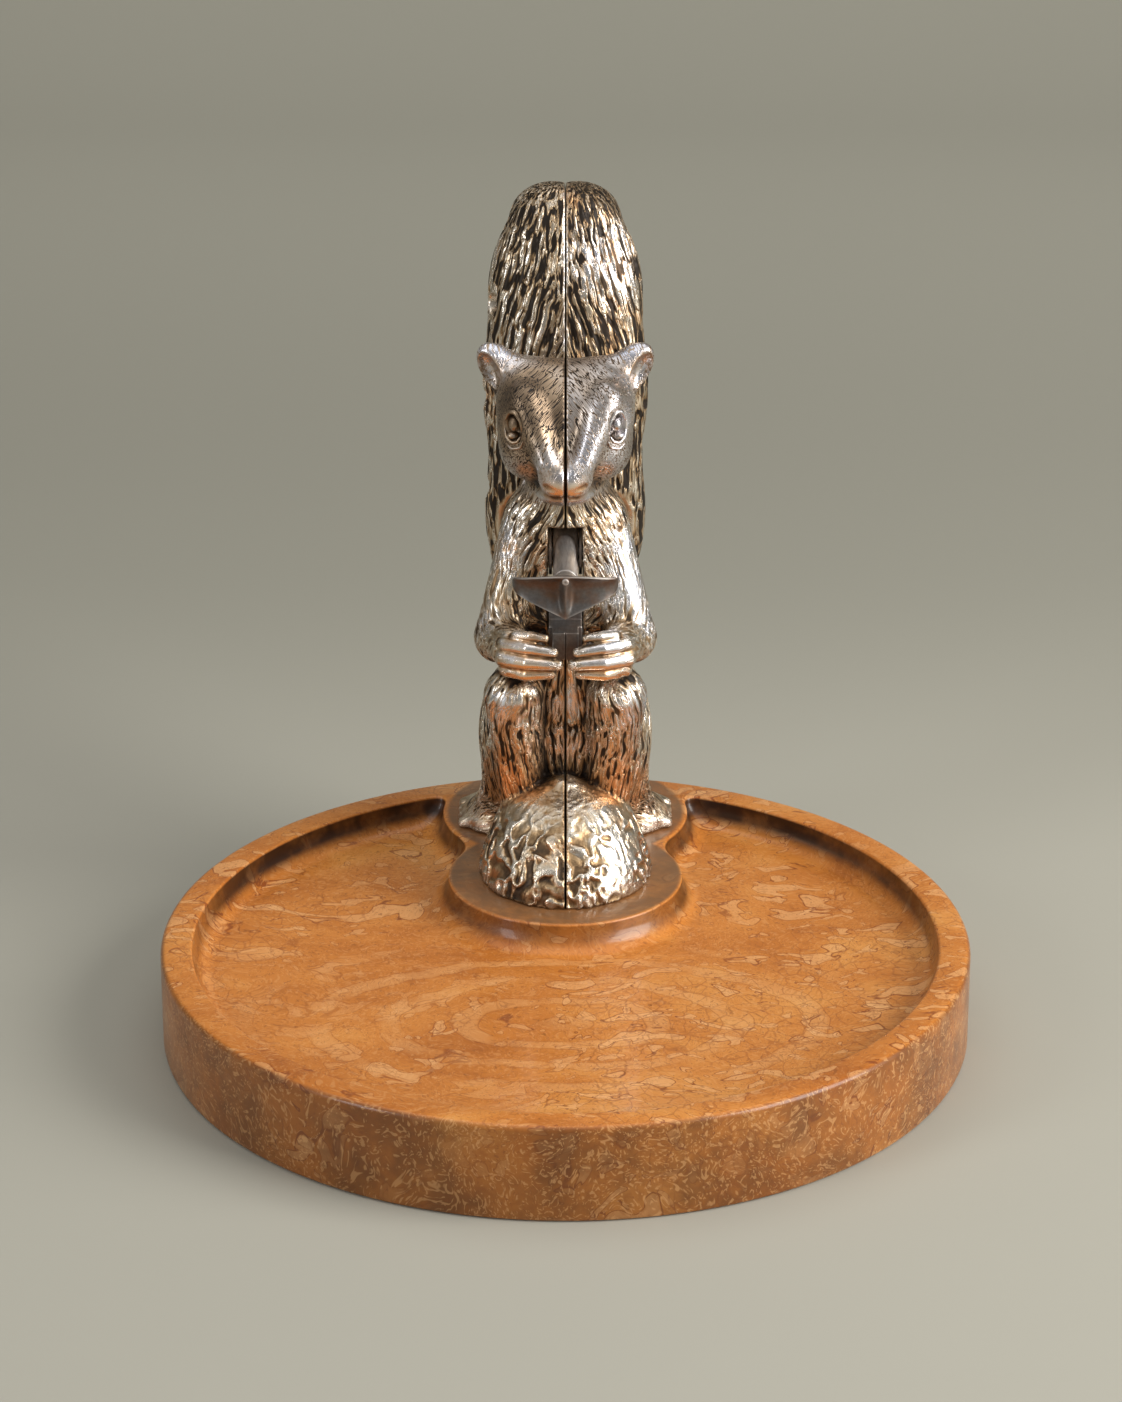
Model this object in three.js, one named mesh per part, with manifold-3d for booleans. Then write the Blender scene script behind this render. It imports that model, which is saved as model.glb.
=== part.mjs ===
// A squirrel nutcracker on a turned wooden tray. Millimetres, +Z up, the squirrel faces -Y.
// The squirrel is a metal casting in two halves, parted on the plane X = 0. An iron lever swings on a
// pin between them. Its front arm carries the jaw, and its rear tang is clamped in the tail, which is
// the handle. Pulling the tail back lifts the jaw, and pushing it upright presses the jaw down towards
// the anvil between the paws, where the nut lies.
import * as THREE from "three";
import { mergeVertices } from "three/addons/utils/BufferGeometryUtils.js";
import Module from "manifold-3d";

const wasm = await Module();
wasm.setup();

// The tray: a turned disc with a coved well, and a plinth left at rim height for the squirrel.
const tray = {
  diameter: 254,
  height: 31,
  rimWidth: 10,
  wellDepth: 9,
  coveWidth: 7,
  edgeRound: 1.8,
  lipRound: 0.9,
  footBevel: 1.5,
};

// The squirrel's casting, without the tail. Its front is the foot of the rock, and it stands towards
// the rear of the tray.
const figure = { width: 60, depth: 100, height: 170, rearRoom: 108 };
const frontY = tray.diameter / 2 - figure.rearRoom;
const plinthLobeShares = [
  { depth: 0.27, radius: 0.633 },
  { depth: 0.78, radius: 0.683 },
];
const seatGap = 0.3;
const seamGap = 0.7;
const blendReach = 5;
const skinStep = 4.8;

// The moving tail, from its foot behind the shoulders to its curled tip. The place of its foot is a
// share of the squirrel's depth and height.
const tail = { width: 53, thickness: 27, height: 128 };
const tailFootShare = [0, 0.82, 0.506];

// The pin that the lever swings on, and how far the tail can be pulled back in degrees.
const pin = { diameter: 6, length: 30 };
const pinShare = [0, 0.51, 0.606];
const opening = 21;

// The lever: a hub, the arm in front of it, and the tang behind it that turns up into the tail. The
// tang lies about the tail's middle and reaches a share of its height.
const lever = {
  thickness: 8,
  hubRadius: 9.5,
  armUp: 6,
  armDown: 7,
  armReach: 28.7,
  noseRound: 6,
  tangFront: 5,
  tangBack: 7,
  tangDown: 9,
  edgeRound: 1.4,
};
const tangShare = 0.758;
const spacer = { diameter: 15, thickness: 1 };

// The slot in the chest for the arm, and the round back that the tail's foot slides over. Its radius
// is short of the tail's middle by the foot's depth.
const slot = { below: 28, above: 12.2, room: 1.2 };
const back = { footDepth: 7.8, gap: 1, lowAngle: -56, highAngle: 50, footAngle: -33 };

// The jaw: a keeled cross head on the nose of the arm, held by a rivet. Heights are above or below
// the pin, and the front, rear and tips are so far ahead of it.
const jaw = { span: 33.6, above: 4, keelBelow: 11, front: 34, rear: 19, tip: 26, tipDrop: 2.6 };
const jawTip = { height: 4.5, depth: 5 };
const jawLip = 0.9;
const jawShares = { backFall: 0.45, keelBack: 0.4, keelFlare: 0.85, rearHeight: 0.8, flank: 0.35 };
const rivet = { diameter: 2, headDiameter: 3.2, headHeight: 0.6, length: 11, above: 1.4 };

// The anvil: an iron block in the foot of the slot, with a shoulder behind that stops the arm.
const anvil = { front: 25, rear: 6, below: 18.5, shoulder: 7 };
const anvilPin = { diameter: 3, length: 16, ahead: 9, below: 24 };

// Screws. Their places are shares of the squirrel or of the tail, and a seat is the share of its
// width from the seam to the underside of the head.
const tieScrew = { diameter: 4, headDiameter: 7.4, headHeight: 2.8, grip: 10 };
const tieScrewShares = [
  { name: "neck", depth: 0.52, height: 0.759, seat: 0.125 },
  { name: "belly", depth: 0.57, height: 0.359, seat: 0.217 },
  { name: "rump", depth: 0.73, height: 0.147, seat: 0.242 },
];
const tailScrew = { diameter: 3.4, headDiameter: 6.4, headHeight: 2.4, grip: 9 };
const tailScrewShares = [
  { name: "low", height: 0.219, seat: 0.245 },
  { name: "middle", height: 0.461, seat: 0.255 },
  { name: "top", height: 0.703, seat: 0.236 },
];
const baseScrew = { diameter: 4.8, headDiameter: 9, headHeight: 3, headZ: 1.5, grip: 12 };
const baseWasher = { diameter: 13, thickness: 1.2 };
const baseScrewShares = [
  { name: "front_left", width: -0.183, depth: 0.29 },
  { name: "front_right", width: 0.183, depth: 0.29 },
  { name: "rear_left", width: -0.217, depth: 0.67 },
  { name: "rear_right", width: 0.217, depth: 0.67 },
];
const driverSlot = { width: 1.1, depth: 1.1 };

// Free room between neighbours, and how far a cutting tool runs past what it cuts.
const fit = 0.3;
const overrun = 20;

const turnSides = 56;
const lobeSides = 32;
const coveSteps = 4;
const roundSides = 20;
const boreSides = 12;

// Where the squirrel's forms lie, as shares of its width, depth and height from the front of its
// seat. The field mirrors them. A limb's radii are shares of the width.
const limbShares = {
  torso: { from: [0, 0.57, 0.17], to: [0, 0.55, 0.64], radii: [0.325, 0.275] },
  neck: { from: [0, 0.55, 0.64], to: [0, 0.51, 0.795], radii: [0.26, 0.215] },
  muzzle: { from: [0, 0.42, 0.84], to: [0, 0.3, 0.785], radii: [0.243, 0.12] },
  upperArm: { from: [0.19, 0.51, 0.675], to: [0.345, 0.44, 0.45], radii: [0.14, 0.138] },
  forearm: { from: [0.345, 0.43, 0.45], to: [0.283, 0.31, 0.459], radii: [0.132, 0.107] },
  shin: { from: [0.275, 0.365, 0.347], to: [0.23, 0.38, 0.1], radii: [0.163, 0.11] },
  ankle: { from: [0.283, 0.61, 0.112], to: [0.4, 0.67, 0.03], radii: [0.158, 0.117] },
  rockPeak: { from: [0, 0.31, 0.04], to: [0, 0.31, 0.168], radii: [0.3, 0.08] },
  tailRoot: { from: [0, 0.79, 0.053], to: [0, 0.78, 0.31], radii: [0.22, 0.22] },
};
const ballShares = {
  skull: { at: [0, 0.49, 0.876], radii: [0.325, 0.17, 0.1105] },
  crown: { at: [0.2, 0.5, 0.935], radii: [0.17, 0.11, 0.05] },
  cheek: { at: [0.183, 0.42, 0.835], radii: [0.167, 0.115, 0.065] },
  orbit: { at: [0.192, 0.42, 0.9], radii: [0.16, 0.105, 0.059] },
  paw: { at: [0.192, 0.25, 0.458], radii: [0.15, 0.06, 0.047] },
  haunch: { at: [0.233, 0.62, 0.206], radii: [0.242, 0.21, 0.159] },
  rump: { at: [0, 0.67, 0.17], radii: [0.383, 0.18, 0.194] },
  hindFoot: { at: [0.333, 0.71, 0.012], radii: [0.242, 0.15, 0.041] },
  rock: { at: [0, 0.305, 0], radii: [0.467, 0.31, 0.141] },
};
const eyeShares = { at: [0.272, 0.343, 0.892], radius: 0.05 };
const earShares = { at: [0.357, 0.515, 0.966], radii: [0.09, 0.04, 0.054], hollow: 0.72 };
const earLean = 30;
const fingerShares = { at: [0.147, 0.195, 0.433], radii: [0.115, 0.028, 0.0125], rise: 0.0215 };
const fingerCount = 4;
const toeShares = { at: [0.5, 0.68, 0.012], radii: [0.075, 0.05, 0.022], spread: 0.075 };
const toeCount = 3;

// The tail's forms, as shares of its width, thickness and height from the middle of its foot.
const tailShares = {
  foot: { at: [0, -0.02, 0.16], radii: [0.495, 0.48, 0.35] },
  middle: { at: [0, 0, 0.48], radii: [0.505, 0.5, 0.38] },
  upper: { at: [0, 0.14, 0.72], radii: [0.47, 0.48, 0.275] },
  curl: { at: [0, 0.42, 0.91], radii: [0.345, 0.42, 0.085] },
};

const sides = { left: -1, right: 1 };
const radians = THREE.MathUtils.degToRad;
const floorZ = tray.height - tray.wellDepth;
const seatZ = tray.height + seatGap;

const inFigure = ([x, y, z]) => [
  x * figure.width,
  frontY + y * figure.depth,
  tray.height + z * figure.height,
];
const figureRadii = ([x, y, z]) => [x * figure.width, y * figure.depth, z * figure.height];

// Places that follow from the sizes above.
const [, pinY, pinZ] = inFigure(pinShare);
const [, tailY, tailFootZ] = inFigure(tailFootShare);
const pivot = { ...pin, y: pinY, z: pinZ };
const tangReach = tailY - pinY;
const tangUp = tailFootZ + tangShare * tail.height - pinZ;
const backRadius = tangReach - back.footDepth;
const slotWidth = lever.thickness + 2 * (spacer.thickness + 2 * fit);
const slotBottom = pinZ - slot.below;
const slotTop = pinZ + slot.above;
const jawTop = pinZ + jaw.above;
const jawFront = pinY - jaw.front;
const rivetZ = pinZ + rivet.above;
const anvilFront = pinY - anvil.front;
const anvilRear = pinY - anvil.rear;
const anvilPinAt = { ...anvilPin, y: pinY - anvilPin.ahead, z: pinZ - anvilPin.below };
const tieScrewPlaces = tieScrewShares.map(({ name, depth, height, seat }) => {
  const [, y, z] = inFigure([0, depth, height]);
  return { name, y, z, seat: seat * figure.width };
});
const tailScrewPlaces = tailScrewShares.map(({ name, height, seat }) => {
  return { name, y: tailY, z: tailFootZ + height * tail.height, seat: seat * tail.width };
});
const baseScrewPlaces = baseScrewShares.map(({ name, width, depth }) => {
  const [x, y] = inFigure([width, depth, 0]);
  return { name, x, y };
});
const plinthLobes = plinthLobeShares.map(({ depth, radius }) => {
  return { y: frontY + depth * figure.depth, radius: radius * figure.width };
});

// Joins and cuts of closed solids.
function solid(geometry) {
  const bare = geometry.index ? geometry.toNonIndexed() : geometry.clone();
  bare.deleteAttribute("normal");
  bare.deleteAttribute("uv");
  const merged = mergeVertices(bare, 1e-4);
  return new wasm.Manifold(
    new wasm.Mesh({
      numProp: 3,
      vertProperties: new Float32Array(merged.attributes.position.array),
      triVerts: new Uint32Array(merged.index.array),
    }),
  );
}

const joined = (first, ...rest) => rest.reduce((whole, piece) => whole.add(piece), first);
const cut = (first, ...tools) => tools.reduce((whole, tool) => whole.subtract(tool), first);

// A box from its lowest to its highest corner.
function block(low, high) {
  const size = high.map((value, axis) => value - low[axis]);
  const middle = high.map((value, axis) => (value + low[axis]) / 2);
  return solid(new THREE.BoxGeometry(...size).translate(...middle));
}

function rodAlongX(diameter, fromX, toX, y, z, count = roundSides) {
  const rod = new THREE.CylinderGeometry(diameter / 2, diameter / 2, toX - fromX, count);
  return solid(rod.rotateZ(-Math.PI / 2).translate((fromX + toX) / 2, y, z));
}

function rodAlongY(diameter, fromY, toY, x, z, count = boreSides) {
  const rod = new THREE.CylinderGeometry(diameter / 2, diameter / 2, toY - fromY, count);
  return solid(rod.translate(x, (fromY + toY) / 2, z));
}

function rodAlongZ(diameter, fromZ, toZ, x, y, count = boreSides) {
  const rod = new THREE.CylinderGeometry(diameter / 2, diameter / 2, toZ - fromZ, count);
  return solid(rod.rotateX(Math.PI / 2).translate(x, y, (fromZ + toZ) / 2));
}

// A profile of radius and height, turned about the Z axis.
function turned(profile, count) {
  const points = profile.map(([radius, height]) => new THREE.Vector2(radius, height));
  return solid(new THREE.LatheGeometry(points, count).rotateX(Math.PI / 2));
}

// An outline drawn in Y and Z about the pin, made solid across the part with rounded edges.
function plateAtPin(shape, width, round = 0, curveSegments = 6) {
  const plate = new THREE.ExtrudeGeometry(shape, {
    depth: width - 2 * round,
    curveSegments,
    bevelEnabled: round > 0,
    bevelThickness: round,
    bevelSize: round,
    bevelOffset: -round,
    bevelSegments: 2,
  });
  const across = new THREE.Matrix4().makeBasis(
    new THREE.Vector3(0, 1, 0),
    new THREE.Vector3(0, 0, 1),
    new THREE.Vector3(1, 0, 0),
  );
  plate.translate(0, 0, round - width / 2).applyMatrix4(across);
  return solid(plate.translate(0, pivot.y, pivot.z));
}

// A wedge of a thick ring about the pin, wide enough to cut the whole casting.
function ringWedgeAtPin(innerRadius, lowAngle, highAngle) {
  const [low, high] = [radians(lowAngle), radians(highAngle)];
  const shape = new THREE.Shape();
  shape.absarc(0, 0, 4 * backRadius, low, high, false);
  shape.absarc(0, 0, innerRadius, high, low, true);
  shape.closePath();
  return plateAtPin(shape, 2 * figure.width, 0, 20);
}

// A ball stretched to three radii, then leant over sideways.
function ellipsoid(centre, radii, count, lean = 0) {
  const ball = new THREE.SphereGeometry(1, count, Math.round(count * 0.6));
  return solid(ball.scale(...radii).rotateY(lean).translate(...centre));
}

// Rings of points, joined into a closed skin with a fan at each end.
function loft(rings) {
  const count = rings[0].length;
  const faces = [];
  for (let ring = 0; ring + 1 < rings.length; ring++) {
    for (let i = 0; i < count; i++) {
      const a = ring * count + i;
      const b = ring * count + ((i + 1) % count);
      faces.push(a, a + count, b, b, a + count, b + count);
    }
  }
  const last = (rings.length - 1) * count;
  for (let i = 1; i + 1 < count; i++) {
    faces.push(0, i, i + 1, last, last + i + 1, last + i);
  }
  const geometry = new THREE.BufferGeometry();
  geometry.setAttribute("position", new THREE.Float32BufferAttribute(rings.flat(2), 3));
  geometry.setIndex(faces);
  return solid(geometry);
}

// A soft form is a smooth blend of balls and limbs, written as a distance to its surface.
function ballDistance(p, { at, radii }) {
  const q = p.map((value, axis) => (value - at[axis]) / radii[axis]);
  const reach = Math.hypot(...q);
  const slope = Math.hypot(...q.map((value, axis) => value / radii[axis]));
  return slope === 0 ? -Math.min(...radii) : (reach * (reach - 1)) / slope;
}

function limbDistance(p, { from, to, radii }) {
  const along = to.map((value, axis) => value - from[axis]);
  const reach = p.map((value, axis) => value - from[axis]);
  const dot = along[0] * reach[0] + along[1] * reach[1] + along[2] * reach[2];
  const share = Math.min(1, Math.max(0, dot / Math.hypot(...along) ** 2));
  const off = reach.map((value, axis) => value - share * along[axis]);
  return Math.hypot(...off) - (radii[0] + share * (radii[1] - radii[0]));
}

function blended(a, b) {
  const nearness = Math.max(blendReach - Math.abs(a - b), 0) / blendReach;
  return Math.min(a, b) - (nearness * nearness * blendReach) / 4;
}

// The distance to a blend that is mirrored on X = 0.
function blendField(limbs, balls) {
  return (point) => {
    const p = [Math.abs(point[0]), point[1], point[2]];
    const distances = [
      ...limbs.map((limb) => limbDistance(p, limb)),
      ...balls.map((ball) => ballDistance(p, ball)),
    ];
    return distances.reduce(blended);
  };
}

// Corners of a grid cell, and the pairs of corners that an edge joins.
const cellCorners = [...Array(8).keys()].map((corner) => [corner & 1, (corner >> 1) & 1, corner >> 2]);
const cellEdges = cellCorners.flatMap((_, a) =>
  [1, 2, 4].filter((bit) => !(a & bit)).map((bit) => [a, a | bit]),
);

// Whether the corners that pass a test hang together along the cell's edges.
function hangTogether(passes) {
  const start = passes.indexOf(true);
  if (start < 0) return true;
  const seen = new Set([start]);
  for (let grown = true; grown; ) {
    grown = false;
    for (const [a, b] of cellEdges) {
      if (passes[a] && passes[b] && seen.has(a) !== seen.has(b)) {
        seen.add(a).add(b);
        grown = true;
      }
    }
  }
  return seen.size === passes.filter(Boolean).length;
}

// The skin of a field: one point in each cell of a grid that the surface crosses, and a face across
// each crossed edge. Cells that the surface would cross twice are filled first, so it stays one skin.
function skin(field, low, high, step) {
  const [nx, ny, nz] = low.map((value, axis) => Math.ceil((high[axis] - value) / step) + 1);
  const indexOf = (i, j, k) => (k * ny + j) * nx + i;
  const place = (i, j, k) => [low[0] + i * step, low[1] + j * step, low[2] + k * step];
  const cells = [];
  const values = new Float64Array(nx * ny * nz);
  for (let k = 0; k < nz; k++) {
    for (let j = 0; j < ny; j++) {
      for (let i = 0; i < nx; i++) {
        values[indexOf(i, j, k)] = field(place(i, j, k));
        if (i + 1 < nx && j + 1 < ny && k + 1 < nz) cells.push([i, j, k]);
      }
    }
  }
  const cornersOf = ([i, j, k]) => cellCorners.map(([di, dj, dk]) => indexOf(i + di, j + dj, k + dk));
  for (let filled = true; filled; ) {
    filled = false;
    for (const cell of cells) {
      const corners = cornersOf(cell);
      const inside = corners.map((corner) => values[corner] < 0);
      if (hangTogether(inside) && hangTogether(inside.map((value) => !value))) continue;
      const outer = corners.filter((corner) => values[corner] >= 0);
      const nearest = outer.reduce((best, corner) => (values[corner] < values[best] ? corner : best));
      values[nearest] = -step / 50;
      filled = true;
    }
  }

  const points = [];
  const pointIn = new Map();
  const nudge = step / 50;
  for (const cell of cells) {
    const corners = cornersOf(cell);
    const crossings = cellEdges
      .map(([a, b]) => [a, b, values[corners[a]], values[corners[b]]])
      .filter(([, , va, vb]) => va < 0 !== vb < 0)
      .map(([a, b, va, vb]) =>
        cellCorners[a].map((value, axis) => value + (va / (va - vb)) * (cellCorners[b][axis] - value)),
      );
    if (!crossings.length) continue;
    const corner = place(...cell);
    const middle = corner.map(
      (value, axis) => value + (step * crossings.reduce((sum, at) => sum + at[axis], 0)) / crossings.length,
    );
    // One step down the slope brings the point onto the surface, and it stays within its cell.
    const here = field(middle);
    const slope = middle.map((_, axis) => {
      const beside = middle.map((value, other) => (other === axis ? value + nudge : value));
      return (field(beside) - here) / nudge;
    });
    const steepness = slope.reduce((sum, value) => sum + value * value, 1e-6);
    pointIn.set(indexOf(...cell), points.length);
    points.push(
      middle.map((value, axis) => {
        const moved = value - (here * slope[axis]) / steepness;
        return Math.min(corner[axis] + step - nudge, Math.max(corner[axis] + nudge, moved));
      }),
    );
  }

  const faces = [];
  for (const [i, j, k] of cells) {
    if (!i || !j || !k) continue;
    [0, 1, 2].forEach((axis) => {
      const ahead = [i, j, k].map((value, other) => value + (other === axis ? 1 : 0));
      const inside = values[indexOf(i, j, k)] < 0;
      if (inside === values[indexOf(...ahead)] < 0) return;
      const [u, v] = [(axis + 1) % 3, (axis + 2) % 3];
      const around = [[0, 0], [1, 0], [1, 1], [0, 1]].map(([du, dv]) => {
        const cell = [i, j, k];
        cell[u] -= du;
        cell[v] -= dv;
        return pointIn.get(indexOf(...cell));
      });
      if (!inside) around.reverse();
      faces.push(around[0], around[1], around[2], around[0], around[2], around[3]);
    });
  }
  const geometry = new THREE.BufferGeometry();
  geometry.setAttribute("position", new THREE.Float32BufferAttribute(points.flat(), 3));
  geometry.setIndex(faces);
  return solid(geometry);
}

// The tray. Its well has a cove at the rim, and each lobe of the plinth has one at its foot.
function cove(fromRadius, toRadius, topZ) {
  return Array.from({ length: coveSteps + 1 }, (_, n) => {
    const turn = (n / coveSteps) * (Math.PI / 2);
    return [
      toRadius + (fromRadius - toRadius) * Math.cos(turn),
      floorZ + (topZ - floorZ) * (1 - Math.sin(turn)),
    ];
  });
}

function trayDisc() {
  const { height, edgeRound, footBevel, lipRound, rimWidth, coveWidth } = tray;
  const outer = tray.diameter / 2;
  const inner = outer - rimWidth;
  return turned(
    [
      [0, 0],
      [outer - footBevel, 0],
      [outer, footBevel],
      [outer, height - edgeRound],
      [outer - edgeRound * 0.3, height - edgeRound * 0.3],
      [outer - edgeRound, height],
      [inner + lipRound, height],
      ...cove(inner, inner - coveWidth, height - lipRound),
      [0, floorZ],
    ],
    turnSides,
  );
}

function plinthLobe({ y, radius }) {
  const { height, lipRound, coveWidth } = tray;
  const profile = [
    [0, height],
    [radius - lipRound, height],
    ...cove(radius, radius + coveWidth, height - lipRound),
    [radius + coveWidth, floorZ - lipRound],
    [0, floorZ - lipRound],
  ];
  return turned(profile.reverse(), lobeSides).translate([0, y, 0]);
}

function woodenTray() {
  const rim = tray.diameter / 2 - tray.lipRound;
  const within = rodAlongZ(2 * rim, 0, 2 * tray.height, 0, 0, turnSides);
  const plinth = joined(...plinthLobes.map(plinthLobe)).intersect(within);
  const holes = baseScrewPlaces.map(({ x, y }) => {
    const recessTop = baseScrew.headZ + baseScrew.headHeight + baseWasher.thickness + 2 * fit;
    const recess = rodAlongZ(baseWasher.diameter + 2 * fit, -overrun, recessTop, x, y, roundSides);
    return joined(recess, rodAlongZ(baseScrew.diameter + 2 * fit, 0, overrun + tray.height, x, y));
  });
  return cut(joined(trayDisc(), plinth), ...holes);
}

// The squirrel's castings.
function squirrelSkin() {
  const limbs = Object.values(limbShares).map(({ from, to, radii }) => ({
    from: inFigure(from),
    to: inFigure(to),
    radii: radii.map((share) => share * figure.width),
  }));
  const balls = Object.values(ballShares).map(({ at, radii }) => ({
    at: inFigure(at),
    radii: figureRadii(radii),
  }));
  const field = blendField(limbs, balls);
  const bottom = tray.height - overrun / 2;
  const low = [-figure.width, frontY - overrun / 2, bottom - overrun / 2];
  const high = inFigure([1, 1.1, 1.1]);
  return skin((p) => Math.max(field(p), bottom - p[2]), low, high, skinStep);
}

function mirroredPlace(shares, side) {
  const [x, y, z] = inFigure(shares);
  return [side * x, y, z];
}

// An ear is a leaning ball, hollowed from the front by a smaller one.
function ear(side) {
  const centre = mirroredPlace(earShares.at, side);
  const radii = figureRadii(earShares.radii);
  const lean = side * radians(earLean);
  const [x, y, z] = centre;
  const hollow = radii.map((radius) => radius * earShares.hollow);
  return cut(ellipsoid(centre, radii, 14, lean), ellipsoid([x, y - radii[1], z], hollow, 12, lean));
}

function eye(side) {
  const radius = eyeShares.radius * figure.width;
  return ellipsoid(mirroredPlace(eyeShares.at, side), [radius, radius, radius], 12);
}

function fingers(side) {
  const [x, y, z] = mirroredPlace(fingerShares.at, side);
  const rise = fingerShares.rise * figure.height;
  const radii = figureRadii(fingerShares.radii);
  return Array.from({ length: fingerCount }, (_, n) => ellipsoid([x, y, z + n * rise], radii, 10));
}

function toes(side) {
  const [x, y, z] = mirroredPlace(toeShares.at, side);
  const spread = toeShares.spread * figure.depth;
  const radii = figureRadii(toeShares.radii);
  return Array.from({ length: toeCount }, (_, n) => ellipsoid([x, y + n * spread, z], radii, 8));
}

// The slot in the chest and the well behind it, which leave room for the lever's whole swing.
function leverWell() {
  const half = slotWidth / 2;
  const room = lever.hubRadius + slot.room;
  const far = backRadius + overrun;
  const rearLow = lever.tangDown + slot.room + far * Math.tan(radians(opening));
  const rear = new THREE.Shape();
  rear.moveTo(0, lever.armUp + slot.room);
  rear.lineTo(0, -room);
  rear.lineTo(far, -rearLow);
  rear.lineTo(far, lever.armUp + slot.room);
  rear.closePath();
  return joined(
    block([-half, anvilFront - fit, slotBottom], [half, anvilRear + fit, slotTop]),
    block([-half, anvilFront, pivot.z - lever.armDown - slot.room], [half, pivot.y, slotTop]),
    rodAlongX(2 * room, -half, half, pivot.y, pivot.z),
    plateAtPin(rear, slotWidth),
  );
}

// The half space on one side of the seam, above a given height.
function beside(side, bottomZ) {
  const reach = tray.diameter;
  const kept = block([-reach, -reach, bottomZ], [reach, reach, bottomZ + 2 * reach]);
  return kept.translate([side * (reach + seamGap / 2), 0, 0]);
}

function bodyHalf(side) {
  const features = [ear(side), eye(side), ...fingers(side), ...toes(side)];
  const whole = joined(squirrelSkin(), ...features).intersect(beside(side, seatZ));
  const pinRoom = (pin, reach) => rodAlongX(pin.diameter + fit, -reach, reach, pin.y, pin.z);
  const baseBores = baseScrewPlaces
    .filter(({ x }) => Math.sign(x) === side)
    .map(({ x, y }) => rodAlongZ(baseScrew.diameter + fit, 0, seatZ + baseScrew.grip + fit, x, y));
  return cut(
    whole,
    leverWell(),
    ringWedgeAtPin(backRadius, back.lowAngle, back.highAngle),
    pinRoom(pivot, pivot.length / 2 + fit),
    pinRoom(anvilPinAt, anvilPin.length / 2 + fit),
    ...tieScrewPlaces.map((place) => crossScrewRoom(tieScrew, place)),
    ...baseBores,
  );
}

function tailSkin() {
  const size = [tail.width, tail.thickness, tail.height];
  const foot = [0, tailY, tailFootZ];
  const balls = Object.values(tailShares).map(({ at, radii }) => ({
    at: at.map((share, axis) => foot[axis] + share * size[axis]),
    radii: radii.map((share, axis) => share * size[axis]),
  }));
  const low = [-tail.width, foot[1] - tail.thickness, foot[2] - 2 * overrun];
  const high = [tail.width, foot[1] + 2 * tail.thickness, foot[2] + tail.height + overrun];
  return skin(blendField([], balls), low, high, skinStep);
}

function tailHalf(side) {
  return cut(
    tailSkin().intersect(beside(side, tray.height)),
    rodAlongX(2 * (backRadius + back.gap), -tail.width, tail.width, pivot.y, pivot.z, 40),
    ringWedgeAtPin(pivot.diameter, 2 * back.footAngle, back.footAngle),
    plateAtPin(leverOutline(fit), lever.thickness + 2 * fit),
    ...tailScrewPlaces.map((place) => crossScrewRoom(tailScrew, place)),
  );
}

// The lever's outline in Y and Z, seen from the pin, or the outline of the pocket around it.
function leverOutline(room = 0) {
  const { armReach, armUp, armDown, noseRound, hubRadius, tangDown: down } = lever;
  const [near, far, up] = [tangReach - lever.tangFront, tangReach + lever.tangBack, tangUp];
  const bottomRadius = hubRadius + room;
  const bottomAngle = Math.PI + Math.asin((armDown + room) / bottomRadius);
  const shape = new THREE.Shape();
  shape.moveTo(-armReach - room, -armDown - room);
  shape.absarc(0, 0, bottomRadius, bottomAngle, 1.5 * Math.PI, false);
  shape.lineTo(near, -down - room);
  shape.lineTo(far + room, -down - room);
  shape.lineTo(far + room, up + room);
  shape.lineTo(near - room, up + room);
  shape.lineTo(near - room, armUp + room);
  shape.lineTo(-armReach - room + noseRound, armUp + room);
  shape.quadraticCurveTo(-armReach - room, armUp + room, -armReach - room, armUp + room - noseRound);
  shape.closePath();
  return shape;
}

function leverCore() {
  const hub = rodAlongX(2 * lever.hubRadius, -lever.thickness / 2, lever.thickness / 2, pivot.y, pivot.z);
  return cut(
    joined(plateAtPin(leverOutline(), lever.thickness, lever.edgeRound), hub),
    rodAlongX(pivot.diameter + fit, -overrun, overrun, pivot.y, pivot.z),
    rivetRoom(),
    ...tailScrewPlaces.map(({ y, z }) => rodAlongX(tailScrew.diameter + fit, -overrun, overrun, y, z)),
  );
}

// The jaw is lofted across the squirrel. Each section has a sharp upper lip at the front, a back
// that falls away, and a keel below that fades towards the tips.
function jawHead() {
  const steps = 12;
  const { backFall, keelBack, keelFlare, rearHeight, flank } = jawShares;
  const rings = Array.from({ length: steps + 1 }, (_, n) => {
    const share = (2 * n) / steps - 1;
    const away = Math.abs(share);
    const x = (share * jaw.span) / 2;
    const top = jawTop - jaw.tipDrop * away ** 2;
    const height = jawTip.height + (jaw.above + jaw.keelBelow - jawTip.height) * (1 - away) ** keelFlare;
    const front = jawFront + (jaw.front - jaw.tip) * (1 - Math.sqrt(1 - away ** 2));
    const depth = jawTip.depth + (jaw.front - jaw.rear - jawTip.depth) * (1 - away ** 2);
    return [
      [x, front + depth, top - depth * backFall],
      [x, front + depth, top - height * rearHeight],
      [x, front + depth * keelBack, top - height],
      [x, front + jawLip / 2, top - height * flank],
      [x, front, top - jawLip],
      [x, front + jawLip, top],
    ];
  });
  const half = lever.thickness / 2 + fit;
  const channel = block(
    [-half, pivot.y - lever.armReach - fit, pivot.z - lever.armDown - fit],
    [half, pivot.y, pivot.z + overrun],
  );
  return cut(loft(rings), channel, rivetRoom());
}

function rivetRoom() {
  return rodAlongY(rivet.diameter + fit, jawFront - overrun, jawFront + rivet.length + fit, 0, rivetZ);
}

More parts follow.
